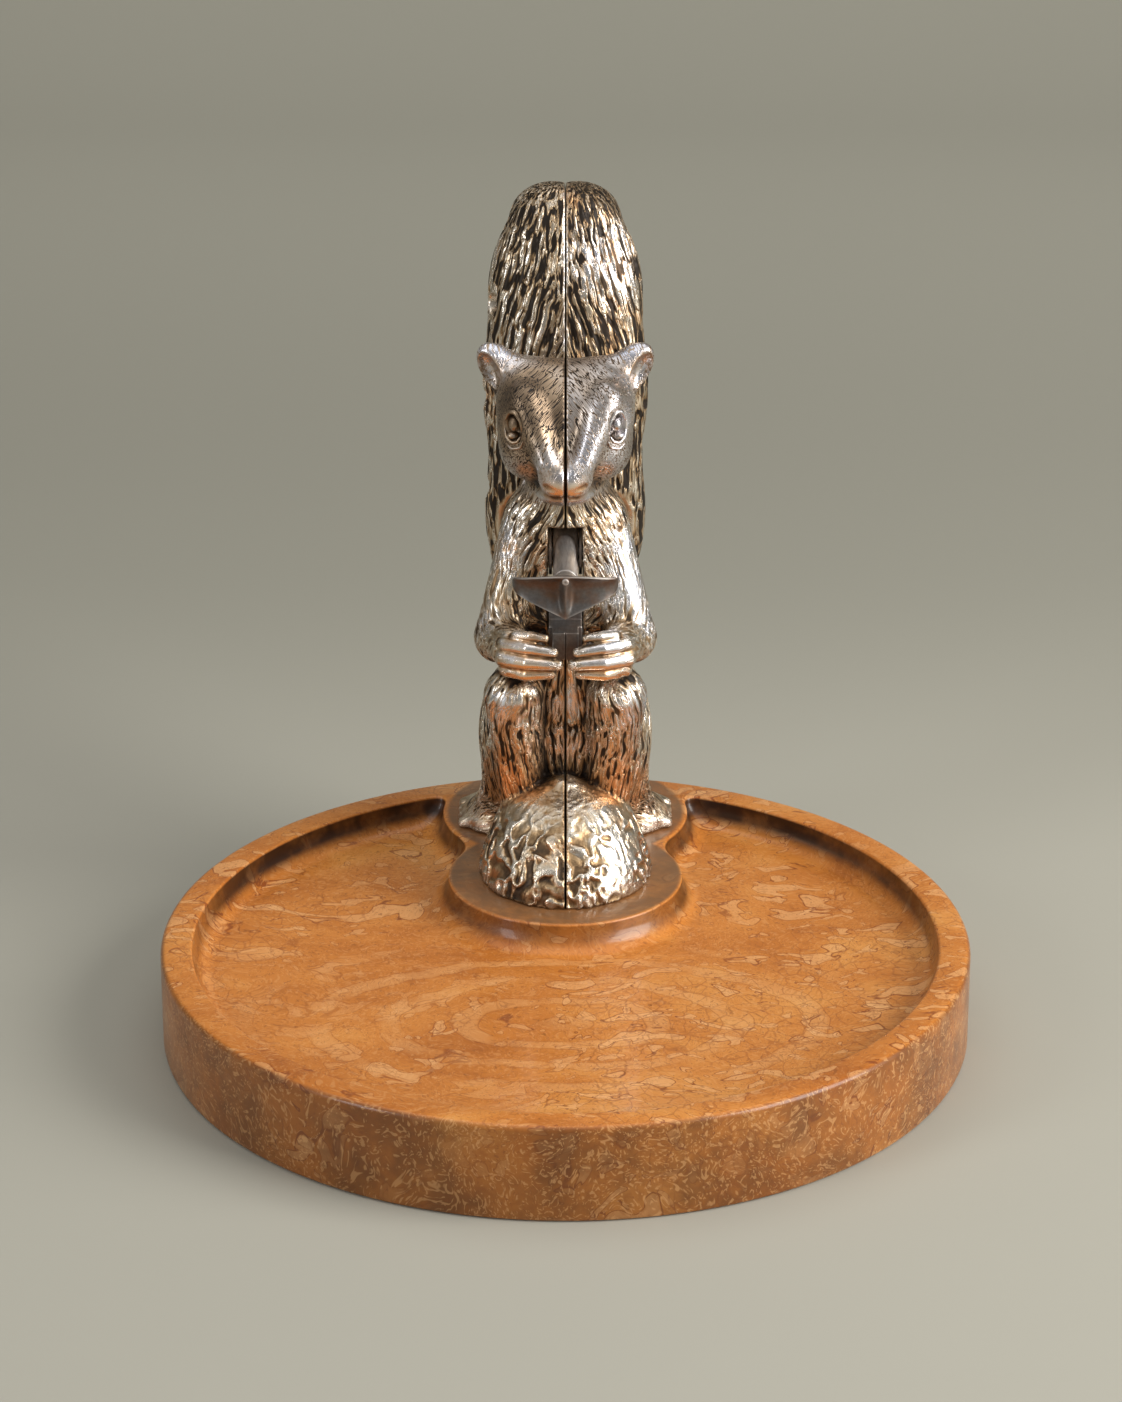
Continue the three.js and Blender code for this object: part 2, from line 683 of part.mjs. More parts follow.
function jawRivet() {
  const { diameter, headDiameter, headHeight, length } = rivet;
  const start = jawFront - fit;
  const shank = rodAlongY(diameter, start - headHeight / 2, start + length, 0, rivetZ);
  const head = rodAlongY(headDiameter, start - headHeight, start, 0, rivetZ);
  return joined(shank, head);
}

// The anvil fills the foot of the slot. Its rear shoulder stands just under the arm.
function anvilBlock() {
  const half = slotWidth / 2 - fit;
  const bottom = slotBottom + fit;
  const stopZ = pivot.z - lever.armDown - fit;
  return cut(
    joined(
      block([-half, anvilFront, bottom], [half, anvilRear, pivot.z - anvil.below]),
      block([-half, anvilRear - anvil.shoulder, bottom], [half, anvilRear, stopZ]),
    ),
    rodAlongX(2 * (lever.hubRadius + fit), -overrun, overrun, pivot.y, pivot.z),
    rodAlongX(anvilPin.diameter + fit, -overrun, overrun, anvilPinAt.y, anvilPinAt.z),
  );
}

function plainPin({ diameter, length, y, z }) {
  return rodAlongX(diameter, -length / 2, length / 2, y, z);
}

function pivotSpacer(side) {
  const near = lever.thickness / 2 + fit;
  const [from, to] = [side * near, side * (near + spacer.thickness)].sort((a, b) => a - b);
  const disc = rodAlongX(spacer.diameter, from, to, pivot.y, pivot.z);
  return cut(disc, rodAlongX(pivot.diameter + fit, -overrun, overrun, pivot.y, pivot.z));
}

// A screw across the seam with its head on the left, and the room that it needs.
function crossScrew({ diameter, headDiameter, headHeight, grip }, { y, z, seat }) {
  const headX = -seat - headHeight;
  const driver = block(
    [headX - driverSlot.depth, y - headDiameter, z - driverSlot.width / 2],
    [headX + driverSlot.depth, y + headDiameter, z + driverSlot.width / 2],
  );
  const head = rodAlongX(headDiameter, headX, -seat, y, z, boreSides);
  return cut(joined(head, rodAlongX(diameter, headX / 2 - seat / 2, grip, y, z, boreSides)), driver);
}

function crossScrewRoom({ diameter, headDiameter, grip }, { y, z, seat }) {
  const shank = rodAlongX(diameter + fit, -seat - fit, grip + fit, y, z, boreSides);
  return joined(shank, rodAlongX(headDiameter + 2 * fit, -tray.height - seat, fit - seat, y, z, boreSides));
}

function baseScrewAt({ x, y }) {
  const { diameter, headDiameter, headHeight, headZ, grip } = baseScrew;
  const driver = block(
    [x - headDiameter, y - driverSlot.width / 2, headZ - driverSlot.depth],
    [x + headDiameter, y + driverSlot.width / 2, headZ + driverSlot.depth],
  );
  const head = rodAlongZ(headDiameter, headZ, headZ + headHeight, x, y);
  return cut(joined(head, rodAlongZ(diameter, headZ + headHeight / 2, seatZ + grip, x, y)), driver);
}

function baseWasherAt({ x, y }) {
  const bottom = baseScrew.headZ + baseScrew.headHeight + fit;
  const disc = rodAlongZ(baseWasher.diameter, bottom, bottom + baseWasher.thickness, x, y, roundSides);
  return cut(disc, rodAlongZ(baseScrew.diameter + fit, 0, tray.height, x, y));
}

// The pieces and their materials.
const finishes = {
  wood: { color: 0xa5602c, roughness: 0.38, metalness: 0 },
  plated: { color: 0xa39787, roughness: 0.3, metalness: 1 },
  iron: { color: 0x3a3430, roughness: 0.45, metalness: 0.9 },
  steel: { color: 0x8a8883, roughness: 0.35, metalness: 1 },
};
const group = new THREE.Group();

function addPiece(name, manifold, finish) {
  const made = manifold.getMesh();
  const geometry = new THREE.BufferGeometry();
  geometry.setAttribute("position", new THREE.BufferAttribute(made.vertProperties, 3));
  geometry.setIndex(new THREE.BufferAttribute(made.triVerts, 1));
  geometry.computeVertexNormals();
  const mesh = new THREE.Mesh(geometry, new THREE.MeshStandardMaterial(finishes[finish]));
  mesh.name = name;
  group.add(mesh);
}

addPiece("tray", woodenTray(), "wood");
for (const [name, side] of Object.entries(sides)) {
  addPiece(`body_${name}`, bodyHalf(side), "plated");
  addPiece(`tail_${name}`, tailHalf(side), "plated");
  addPiece(`pivot_spacer_${name}`, pivotSpacer(side), "steel");
}
addPiece("lever_core", leverCore(), "iron");
addPiece("jaw", jawHead(), "iron");
addPiece("jaw_rivet", jawRivet(), "steel");
addPiece("anvil", anvilBlock(), "iron");
addPiece("anvil_pin", plainPin(anvilPinAt), "steel");
addPiece("pivot_pin", plainPin(pivot), "steel");
for (const place of tieScrewPlaces) {
  addPiece(`tie_screw_${place.name}`, crossScrew(tieScrew, place), "steel");
}
for (const place of tailScrewPlaces) {
  addPiece(`tail_screw_${place.name}`, crossScrew(tailScrew, place), "steel");
}
for (const place of baseScrewPlaces) {
  addPiece(`base_screw_${place.name}`, baseScrewAt(place), "steel");
  addPiece(`base_washer_${place.name}`, baseWasherAt(place), "steel");
}

export default group;
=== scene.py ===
import math

import bmesh
import bpy
import numpy as np
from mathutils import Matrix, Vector
from mathutils.geometry import tessellate_polygon


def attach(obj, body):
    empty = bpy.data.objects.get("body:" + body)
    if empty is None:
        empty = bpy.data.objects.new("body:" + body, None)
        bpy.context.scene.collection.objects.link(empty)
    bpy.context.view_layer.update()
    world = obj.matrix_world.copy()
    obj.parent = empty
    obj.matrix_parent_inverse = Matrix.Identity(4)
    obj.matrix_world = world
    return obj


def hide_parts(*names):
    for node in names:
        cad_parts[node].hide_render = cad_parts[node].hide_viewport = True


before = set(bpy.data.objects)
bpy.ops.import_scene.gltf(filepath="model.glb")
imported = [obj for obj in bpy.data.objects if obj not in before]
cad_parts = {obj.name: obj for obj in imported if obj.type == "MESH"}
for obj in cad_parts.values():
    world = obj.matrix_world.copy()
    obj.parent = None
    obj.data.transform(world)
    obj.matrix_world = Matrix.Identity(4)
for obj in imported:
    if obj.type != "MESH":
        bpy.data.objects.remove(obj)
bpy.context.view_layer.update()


# ---------------------------------------------------------------------------------------------
# The tray. A disc of burl wood turned on a lathe, with a well for nuts and shells whose wall is
# a cove. The well stops short of a plinth in the shape of an eight, which carries the squirrel.
# It is finished with a satin lacquer, and four screws come up through its underside.

tray_radius = 127.0
tray_height = 31.0
well_floor = 22.0
well_radius = 117.0
cove_width = 7.0
lip_round = 0.9
edge_round = 1.8
plinth_lobes = [(46.0, 38.0), (97.0, 41.0)]
waist_blend = 9.0
pocket_blend = 7.0
screw_places = [(-10.98, 48.0), (10.98, 48.0), (-13.02, 86.0), (13.02, 86.0)]


def blended(a, b, reach):
    """The smooth union of two distances."""
    near = np.maximum(reach - np.abs(a - b), 0) / reach
    return np.minimum(a, b) - near * near * reach / 4


def carved(a, b, reach):
    """Distance a with b cut out of it, the edge rounded over the reach."""
    return -blended(-a, b, reach)


def made_mesh(name, points, faces, smooth=True):
    """A mesh object from points in millimetres."""
    mesh = bpy.data.meshes.new(name)
    mesh.from_pydata([tuple(p) for p in np.asarray(points, float) * 0.001], [], faces)
    mesh.update()
    mesh.validate()
    made = bpy.data.objects.new(name, mesh)
    bpy.context.scene.collection.objects.link(made)
    mesh.shade_smooth() if smooth else mesh.shade_flat()
    return made


def outward(made):
    """Merges doubles and turns every face outwards."""
    work = bmesh.new()
    work.from_mesh(made.data)
    bmesh.ops.remove_doubles(work, verts=work.verts, dist=1e-6)
    bmesh.ops.recalc_face_normals(work, faces=work.faces)
    work.to_mesh(made.data)
    work.free()
    return made


def well_depth(p):
    """How far a point of the plan lies inside the well, which is negative on the rim and plinth."""
    lobes = [np.hypot(p[:, 0], p[:, 1] - y) - radius for y, radius in plinth_lobes]
    plinth = blended(lobes[0], lobes[1], waist_blend)
    return blended(well_radius - np.hypot(p[:, 0], p[:, 1]), plinth, pocket_blend)


def slope_of(field, p, step=0.05):
    """The gradient of a field at each point."""
    axes = np.eye(p.shape[1]) * step
    return np.stack([(field(p + a) - field(p - a)) / (2 * step) for a in axes], 1)


def normal_of(field, p, step):
    """The unit vector that points out of the field at each point."""
    slope = slope_of(field, p, step)
    return slope / np.maximum(np.linalg.norm(slope, axis=1), 1e-6)[:, None]


def onto_level(field, p, level, rounds=3):
    """Moves points down the slope of a field until it has the level's value."""
    for _ in range(rounds):
        slope = slope_of(field, p)
        off = (field(p) - level) / np.maximum((slope**2).sum(1), 0.2)
        p = p - off[:, None] * slope
    return p


def well_outline(spacing=1.0):
    """The closed line where the well's wall meets the rim and the plinth, traced step by step."""
    at = onto_level(well_depth, np.array([[0.0, -well_radius]]), 0, 6)
    start, line = at[0], []
    for count in range(3000):
        line.append(at[0])
        slope = slope_of(well_depth, at)[0]
        along = np.array([slope[1], -slope[0]]) / np.hypot(*slope)
        at = onto_level(well_depth, at + along * spacing, 0)
        if count > 20 and np.hypot(*(at[0] - start)) < spacing * 0.9:
            break
    return np.array(line)


def circle(radius, count, centre=(0, 0)):
    turn = np.arange(count) * 2 * math.pi / count
    return np.stack([centre[0] + radius * np.cos(turn), centre[1] + radius * np.sin(turn)], 1)


def strip(first, second, count):
    """Quads between two closed rings of points, given by the index of each ring's first point."""
    return [
        (first + i, first + (i + 1) % count, second + (i + 1) % count, second + i)
        for i in range(count)
    ]


def fill_between(loops, starts):
    """Triangles of a flat region with holes. The first loop is its outline."""
    index = [s + i for s, loop in zip(starts, loops) for i in range(len(loop))]
    flat = [[Vector((x, y, 0)) for x, y in loop] for loop in loops]
    return [tuple(index[i] for i in face) for face in tessellate_polygon(flat)]


points, faces = [], []


def add_ring(plan, height):
    """Adds a ring at one height, or a height for each point, and returns its first index."""
    start = len(points)
    heights = np.broadcast_to(height, len(plan))
    points.extend([x, y, z] for (x, y), z in zip(plan, heights))
    return start


outline = well_outline()
turn_count = 360
edge_profile = [
    (tray_radius - edge_round * (1 - math.sin(t)), tray_height - edge_round * (1 - math.cos(t)))
    for t in np.linspace(0, math.pi / 2, 6)]
foot_profile = [(tray_radius, 1.5), (tray_radius - 0.45, 0.45), (tray_radius - 1.5, 0.0)]
wall = [add_ring(circle(r, turn_count), z) for r, z in edge_profile + foot_profile]
for first, second in zip(wall, wall[1:]):
    faces += strip(first, second, turn_count)

lip_steps = [(-lip_round * (1 - math.sin(t)), tray_height - lip_round * (1 - math.cos(t)))
             for t in np.linspace(0, math.pi / 2, 5)]
drop = tray_height - lip_round - well_floor
cove_steps = [(cove_width * (1 - math.cos(t)), well_floor + drop * (1 - math.sin(t)))
              for t in np.linspace(0, math.pi / 2, 13)[1:]]
rings, at = [], onto_level(well_depth, outline, lip_steps[0][0], 4)
for level, height in lip_steps + cove_steps:
    at = onto_level(well_depth, at, level, 3)
    rings.append((add_ring(at, height), at))
for (first, _), (second, _) in zip(rings, rings[1:]):
    faces += strip(first, second, len(outline))
floor_start, floor_plan = rings[-1]
faces += fill_between([floor_plan], [floor_start])

bore, recess, recess_top, seg = 2.7, 6.8, 6.3, 40
bore_tops = [(circle(bore, seg, c), add_ring(circle(bore, seg, c), tray_height)) for c in screw_places]
recess_foots = []
for (plan, top), c in zip(bore_tops, screw_places):
    low = add_ring(plan, recess_top)
    wide = add_ring(circle(recess, seg, c), recess_top)
    foot = add_ring(circle(recess, seg, c), 0.0)
    for first, second in ((top, low), (low, wide), (wide, foot)):
        faces += strip(first, second, seg)
    recess_foots.append((circle(recess, seg, c), foot))
faces += fill_between(
    [circle(edge_profile[0][0], turn_count), rings[0][1]] + [plan for plan, _ in bore_tops],
    [wall[0], rings[0][0]] + [start for _, start in bore_tops])
faces += fill_between(
    [circle(tray_radius - 1.5, turn_count)] + [plan for plan, _ in recess_foots],
    [wall[-1]] + [start for _, start in recess_foots])
tray_piece = outward(made_mesh("tray_wood", points, faces))


class Nodes:
    """A short way to place and join the nodes of one tree."""

    def __init__(self, tree):
        self.tree = tree
        tree.nodes.clear()

    def add(self, kind, inputs=None, **settings):
        made = self.tree.nodes.new(kind)
        for name, value in settings.items():
            setattr(made, name, value)
        for key, value in (inputs or {}).items():
            self.feed(made.inputs[key], value)
        return made

    def feed(self, socket, value):
        if isinstance(value, bpy.types.NodeSocket):
            self.tree.links.new(value, socket)
        elif isinstance(value, bpy.types.Node):
            self.tree.links.new(value.outputs[0], socket)
        else:
            socket.default_value = value

    def math(self, operation, a, b=0.0, clamp=False):
        return self.add("ShaderNodeMath", {0: a, 1: b}, operation=operation, use_clamp=clamp)

    def mul(self, a, b):
        return self.math("MULTIPLY", a, b)

    def plus(self, a, b, clamp=False):
        return self.math("ADD", a, b, clamp)

    def minus(self, a, b):
        return self.math("SUBTRACT", a, b)

    def blend(self, a, b, share):
        """The value a where the share is 0, and b where it is 1."""
        return self.plus(self.mul(a, self.minus(1.0, share)), self.mul(b, share))

    def vector(self, operation, a, b=None):
        inputs = {0: a}
        if b is not None:
            inputs["Scale" if operation == "SCALE" else 1] = b
        return self.add("ShaderNodeVectorMath", inputs, operation=operation)

    def split(self, vector):
        return self.add("ShaderNodeSeparateXYZ", {0: vector}).outputs

    def place(self):
        return self.add("ShaderNodeTexCoord").outputs["Object"]

    def stored(self, name, kind="FLOAT"):
        """What a mesh's points keep under a name, for a tree that shapes meshes."""
        return self.add("GeometryNodeInputNamedAttribute", {"Name": name}, data_type=kind).outputs[0]

    def noise(self, vector, scale, detail=2.0, roughness=0.5, distortion=0.0):
        return self.add("ShaderNodeTexNoise", {
            "Vector": vector, "Scale": scale, "Detail": detail,
            "Roughness": roughness, "Distortion": distortion})

    def range(self, value, low, high, to_low=0.0, to_high=1.0):
        return self.add("ShaderNodeMapRange", {
            "Value": value, "From Min": low, "From Max": high, "To Min": to_low,
            "To Max": to_high}, interpolation_type="SMOOTHSTEP")

    def patches(self, vector, scale, detail, roughness, low, high, *ends):
        """Noise, of which the values from low to high are spread over 0 to 1, or from end to end."""
        return self.range(self.noise(vector, scale, detail, roughness), low, high, *ends)

    def away(self, value, level, low, high, *ends):
        """How far a value is from a level, with low to high spread over 0 to 1, or from end to end."""
        return self.range(self.math("ABSOLUTE", self.minus(value, level)), low, high, *ends)

    def most(self, a, b):
        return self.math("MAXIMUM", a, b)

    def mix(self, share, a, b, blend="MIX"):
        made = self.add("ShaderNodeMix", data_type="RGBA", blend_type=blend)
        for socket, value in ((made.inputs[0], share), (made.inputs[6], a), (made.inputs[7], b)):
            self.feed(socket, value)
        return made.outputs[2]

    def ramp(self, share, stops):
        made = self.add("ShaderNodeValToRGB", {"Fac": share})
        band = made.color_ramp.elements
        while len(band) < len(stops):
            band.new(0.5)
        for stop, (place, colour) in zip(band, stops):
            stop.position, stop.color = place, (*colour, 1)
        return made.outputs["Color"]


def new_material(name):
    """A node material, its tree emptied, with an output ready and the place to work from."""
    made = bpy.data.materials.new(name)
    made.use_nodes = True
    nodes = Nodes(made.node_tree)
    out = nodes.add("ShaderNodeOutputMaterial")
    return made, nodes, out, nodes.place()


def lay_skin(nodes, out, colour, bump=None, **settings):
    """The material's surface. A bump is a height with its strength and its distance."""
    inputs = {name.replace("_", " "): value for name, value in settings.items()}
    inputs["Base Color"] = colour
    if bump:
        height, strength, distance = bump
        inputs["Normal"] = nodes.add("ShaderNodeBump", {
            "Height": height, "Strength": strength, "Distance": distance})
    nodes.feed(out.inputs["Surface"], nodes.add("ShaderNodeBsdfPrincipled", inputs))


def burl_material():
    """Burl under satin lacquer: blotches with dark outlines, pale curls and an oval figure."""
    made, nodes, out, where = new_material("lacquered_burl")
    split = nodes.split(where)
    mul = nodes.mul

    def bent_by(vector, scale, reach):
        swirl = nodes.noise(where, scale, 3, 0.55).outputs["Color"]
        swirl = nodes.vector("SUBTRACT", swirl, (0.5, 0.5, 0.5))
        return nodes.vector("ADD", vector, nodes.vector("SCALE", swirl, reach))

    def length_of(vector, **mapping):
        mapped = nodes.add("ShaderNodeMapping", {"Vector": vector, **mapping})
        return nodes.vector("LENGTH", mapped).outputs["Value"]

    bent = bent_by(where, 17, 0.04)
    wide = nodes.add("ShaderNodeMapping", {"Vector": bent, "Scale": (0.72, 1.25, 1.0)})
    broad = nodes.noise(wide, 26, 5, 0.62)
    colour = nodes.ramp(broad, [
        (0.28, (0.33, 0.092, 0.012)), (0.42, (0.46, 0.148, 0.022)),
        (0.55, (0.54, 0.192, 0.034)), (0.72, (0.64, 0.275, 0.064))])
    # The oval figure round a knot at the front of the well.
    oval = length_of(bent_by(where, 30, 0.014), Location=(0.0, 0.062, 0.0), Scale=(0.80, 1.45, 0.0))
    ring = nodes.math("SINE", mul(oval, 330.0))
    near = mul(nodes.range(oval, 0.095, 0.06), nodes.patches(where, 40, 2, 0.5, 0.36, 0.52))
    figure = mul(nodes.range(ring, 0.30, 0.80), mul(near, 0.30))
    colour = nodes.mix(figure, colour, (0.70, 0.37, 0.145, 1))
    lines = [mul(nodes.away(ring, 0.42, 0.10, 0.0), mul(near, 0.55))]
    # Blotches of two sizes.
    for scale, seed, low, strength in ((80, 0.0, 0.605, 0.50), (170, 3.1, 0.625, 0.50)):
        spot = nodes.noise(nodes.vector("ADD", wide, (seed, seed, 0)), scale, 1.5, 0.5, 0.5)
        place = nodes.patches(where, 15, 1, 0.5, 0.36, 0.56, 0.35, 1.0)
        share = mul(nodes.range(spot, low, low + 0.025), mul(place, strength))
        colour = nodes.mix(share, colour, (0.72, 0.38, 0.155, 1))
        lines.append(mul(nodes.away(spot, low, 0.012, 0.002), place))
    # Small cells with thin walls, in a few places.
    cell = nodes.add("ShaderNodeTexVoronoi", {"Vector": bent_by(where, 120, 0.004), "Scale": 165.0},
                     feature="DISTANCE_TO_EDGE").outputs["Distance"]
    cracked = nodes.patches(where, 21, 2, 0.5, 0.50, 0.60)
    lines.append(mul(nodes.range(cell, 0.055, 0.015), mul(cracked, 0.42)))
    line = nodes.most(nodes.most(lines[0], lines[3]), nodes.most(lines[1], lines[2]))
    colour = nodes.mix(mul(line, 0.82), colour, (0.20, 0.040, 0.007, 1))
    curl = nodes.noise(bent, 330, 1.0, 0.5, 2.6)
    # The outer wall is browner, partly its own colour and partly painted shade, and its curls are paler
    # and closer.
    flat = nodes.add("ShaderNodeCombineXYZ", {0: split[0], 1: split[1]})
    reach = nodes.vector("LENGTH", flat).outputs["Value"]
    side = nodes.range(reach, 0.1255, 0.1268)
    shade = nodes.patches(where, 34, 4, 0.65, 0.36, 0.62, 0.88, 0.46)
    colour = nodes.mix(mul(side, shade), colour, (0.120, 0.041, 0.010, 1))
    curls = mul(nodes.range(curl, 0.55, 0.66), nodes.range(side, 0.0, 1.0, 0.20, 0.34))
    colour = nodes.mix(curls, colour, (0.72, 0.40, 0.165, 1))
    colour = nodes.mix(mul(nodes.range(curl, 0.42, 0.34), 0.26), colour, (0.24, 0.070, 0.012, 1))
    pores = nodes.range(nodes.noise(bent, 620, 2, 0.6, 1.2), 0.40, 0.32)
    colour = nodes.mix(mul(pores, 0.45), colour, (0.17, 0.05, 0.012, 1))
    # The plinth's top is painted darker under the figure, as painted shadow together with dirt, and the
    # cove has painted shade with dirt, most of all at the back.
    plinth = nodes.range(split[2], 0.0306, 0.0309)
    lobes = [length_of(where, Location=(0, -y * 0.001, 0), Scale=(1, 1, 0)) for y, _ in plinth_lobes]
    inner = nodes.most(nodes.range(lobes[0], 0.0385, 0.0365), nodes.range(lobes[1], 0.0405, 0.0385))
    shadow_and_stain = nodes.patches(bent, 90, 4, 0.65, 0.35, 0.62, 0.72, 0.94)
    colour = nodes.mix(mul(mul(plinth, inner), shadow_and_stain), colour, (0.150, 0.072, 0.031, 1))
    # Painted shade with dirt in the cove under the rim, darkest towards the back.
    cove_shade_and_dirt = mul(nodes.range(split[2], 0.0224, 0.0262), nodes.range(split[2], 0.0308, 0.0300))
    cove_shade_and_dirt = mul(cove_shade_and_dirt, nodes.range(reach, 0.1255, 0.124))
    back = nodes.range(split[1], -0.01, 0.06, 0.52, 1.0)
    streak = nodes.patches(where, 60, 3, 0.6, 0.35, 0.6, 0.75, 1.0)
    colour = nodes.mix(mul(cove_shade_and_dirt, mul(back, streak)), colour, (0.026, 0.008, 0.002, 1))
    rough = nodes.range(broad, 0.35, 0.65, 0.40, 0.33)
    relief = nodes.plus(mul(nodes.noise(bent, 70, 3, 0.55), 0.6), mul(line, -0.4))
    lay_skin(nodes, out, colour, (relief, 0.10, 0.0006), Roughness=rough, Coat_Weight=0.25,
             Coat_Roughness=0.10, Specular_IOR_Level=0.30)
    return made


def shown(made, finish, body, slot, *parts, sharp=None):
    """Gives a piece its finish, and lets it ride a body and stand in for parts. Edges steeper than
    the angle, in degrees, are drawn sharp."""
    if sharp is not None:
        made.data.set_sharp_from_angle(angle=math.radians(sharp))
    if finish is not None:
        made.data.materials.append(finish)
    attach(made, body)
    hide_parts(*parts)


shown(tray_piece, burl_material(), "stand", "wood", "tray", sharp=35)


# ---------------------------------------------------------------------------------------------
# The squirrel. Two bronze castings, a left and a right half, parted on the plane X = 0 and held
# by screws. The fur is cut into the wax: strands that follow the body, with a dark patina in the
# grooves and a silvery plate on top that has worn through to copper in places.

# The seam is a groove in the skin, half as wide as given and so deep, over faces that nearly meet.
seam_half, seam_depth, seam_gap = 0.22, 1.4, 0.03
pin_y, pin_z, pin_bore = 70.0, 134.02, 3.15
slot_half, hub_room = 5.6, 10.7
anvil_pin_at, anvil_pin_bore = (pin_y - 9, pin_z - 24), 1.65
# Each tie screw's height in Y and Z, and how far out the seat of its head is.
tie_places = {"neck": (71, 160.03, 7.5), "belly": (76, 92.03, 13.02), "rump": (92, 56.0, 14.52)}
# How far the tail swings back, in degrees, and about how long a degree's arc is at radius 1.
swing, degree = 21.0, 0.0175

limbs = {
    "torso": ((0, 76, 59.9), (0, 74, 139.8), 19.5, 16.5),
    "neck": ((0, 74, 139.8), (0, 70, 166.15), 15.6, 12.9),
    "muzzle": ((0, 61, 173.8), (0, 49.5, 166.0), 12.6, 7.2),
    "upper_arm": ((11.4, 70, 145.75), (20.7, 63, 107.5), 8.4, 8.3),
    "tail_root": ((0, 98, 40), (0, 97, 83.7), 13.2, 13.2),
    "ankle": ((17, 80, 50), (24, 86, 36), 9.5, 7.0),
}
balls = {
    "skull": ((0, 68, 179.9), (19.9, 17, 18.8)),
    "crown": ((12, 69, 190), (10.2, 11, 8.5)),
    "cheek": ((11, 61, 173), (10, 11.5, 11)),
    "orbit": ((11.5, 61, 184), (9.6, 10.5, 10)),
    "haunch": ((14, 81, 66), (14.5, 21, 27)),
    "rump": ((0, 86, 59.9), (23, 18, 33)),
    "hind_foot": ((20, 90, 33), (14.5, 15, 7)),
}
forearm = ((20.7, 62, 107.5), (17.0, 50, 109.0), 7.9, 6.4)
shin = ((16.5, 55.5, 90), (13.8, 57, 48), 9.8, 6.6)
belly_furrow = ((7.3, 54.6, 95), (7.0, 55.4, 54), 2.3, 2.2)
palm = ((16.5, 48.5, 108.6), (10.5, 44.5, 108.2), 6.8, 5.2)
fingers = [
    ((15.5, 43.4, 115.4), (11, 40.4, 116.3), (6.4, 39.6, 115.8), 2.0, 1.35),
    ((19.0, 44.5, 112.0), (12, 38.8, 112.8), (3.8, 37.7, 111.8), 2.5, 1.7),
    ((19.6, 44.0, 107.6), (12, 38.0, 108.3), (2.4, 37.1, 107.9), 2.8, 1.9),
    ((18.6, 45.0, 103.6), (12, 39.6, 103.8), (4.6, 38.5, 104.4), 2.8, 1.9),
]
rock_balls = [((0, 49.5, 31), (28, 31, 24)), ((0, 51, 44), (23.0, 22, 17.5))]
rock_peak = ((0, 50, 48), (0, 49.5, 60.6), 11.0, 3.6)
ear = ((21.4, 70.5, 195.2), (5.4, 4.0, 9.2), 30)
ear_hollow = ((24.5, 66.4, 195.0), (3.6, 4.9, 6.9), 22)
eye_middle = (16.3, 52.0, 182.4)
eye_across = (0.84, 0.53, 0.08)


def ball_distance(p, at, radii):
    q = (p - np.array(at, p.dtype)) / np.array(radii, p.dtype)
    reach = np.sqrt((q * q).sum(1))
    steep = np.sqrt(((q / np.array(radii, p.dtype)) ** 2).sum(1))
    return reach * (reach - 1) / np.maximum(steep, 1e-6)


def limb_distance(p, start, end, first, last):
    start, along = np.array(start, p.dtype), np.array(end, p.dtype) - np.array(start, p.dtype)
    off = p - start
    share = np.clip(off @ along / (along @ along), 0, 1)
    away = off - share[:, None] * along
    return np.sqrt((away * away).sum(1)) - (first + share * (last - first))


def leaning(p, at, degrees):
    """Points turned about a Y axis through a place, which leans a form outwards."""
    turn = math.radians(degrees)
    x, z = p[:, 0] - at[0], p[:, 2] - at[2]
    return np.stack([at[0] + x * math.cos(turn) - z * math.sin(turn), p[:, 1],
                     at[2] + x * math.sin(turn) + z * math.cos(turn)], 1)


def slab(p, axis, low, high):
    return np.maximum(low - p[:, axis], p[:, axis] - high)


def rod_distance(p, y, z, radius):
    return np.hypot(p[:, 1] - y, p[:, 2] - z) - radius


def folded(p):
    """Points with the left half laid over the right one."""
    q = p.copy()
    q[:, 0] = np.abs(q[:, 0])
    return q


def bored(d, q, y, z, radius, depth):
    """A form with a hole along X, as deep as given on each side of the seam."""
    return np.maximum(d, -np.maximum(rod_distance(q, y, z, radius), q[:, 0] - depth))


def screwed(d, q, side, place, head, shank, thread_end):
    """A form with the room of a screw that clamps two halves, whose head is on the left."""
    y, z, seat = place
    if side < 0:
        d = carved(d, np.maximum(rod_distance(q, y, z, head), seat - 0.3 - q[:, 0]), 0.6)
    return bored(d, q, y, z, shank, seat if side < 0 else thread_end)


def round_pin(q):
    """How far points are from the pivot pin's axis, and in which direction, in degrees."""
    y, z = q[:, 1] - pin_y, q[:, 2] - pin_z
    return np.hypot(y, z), np.degrees(np.arctan2(z, y))


def squirrel_form(p):
    """The distance to the squirrel's skin, the same on both sides of the seam."""
    q, d = folded(p), None
    for start, end, first, last in limbs.values():
        part = limb_distance(q, start, end, first, last)
        d = part if d is None else blended(d, part, 5.0)
    for at, radii in balls.values():
        d = blended(d, ball_distance(q, at, radii), 5.0)
    d = carved(d, limb_distance(q, *belly_furrow), 1.2)
    d = blended(d, limb_distance(q, *forearm), 2.5)
    d = blended(d, limb_distance(q, *shin), 1.2)
    for form, where in ((face_form, q[:, 2] > 150),
                        (paw_form, (q[:, 2] > 92) & (q[:, 2] < 124) & (q[:, 1] < 66)),
                        (foot_form, q[:, 2] < 78)):
        if where.any():
            d[where] = form(q[where], d[where])
    return d


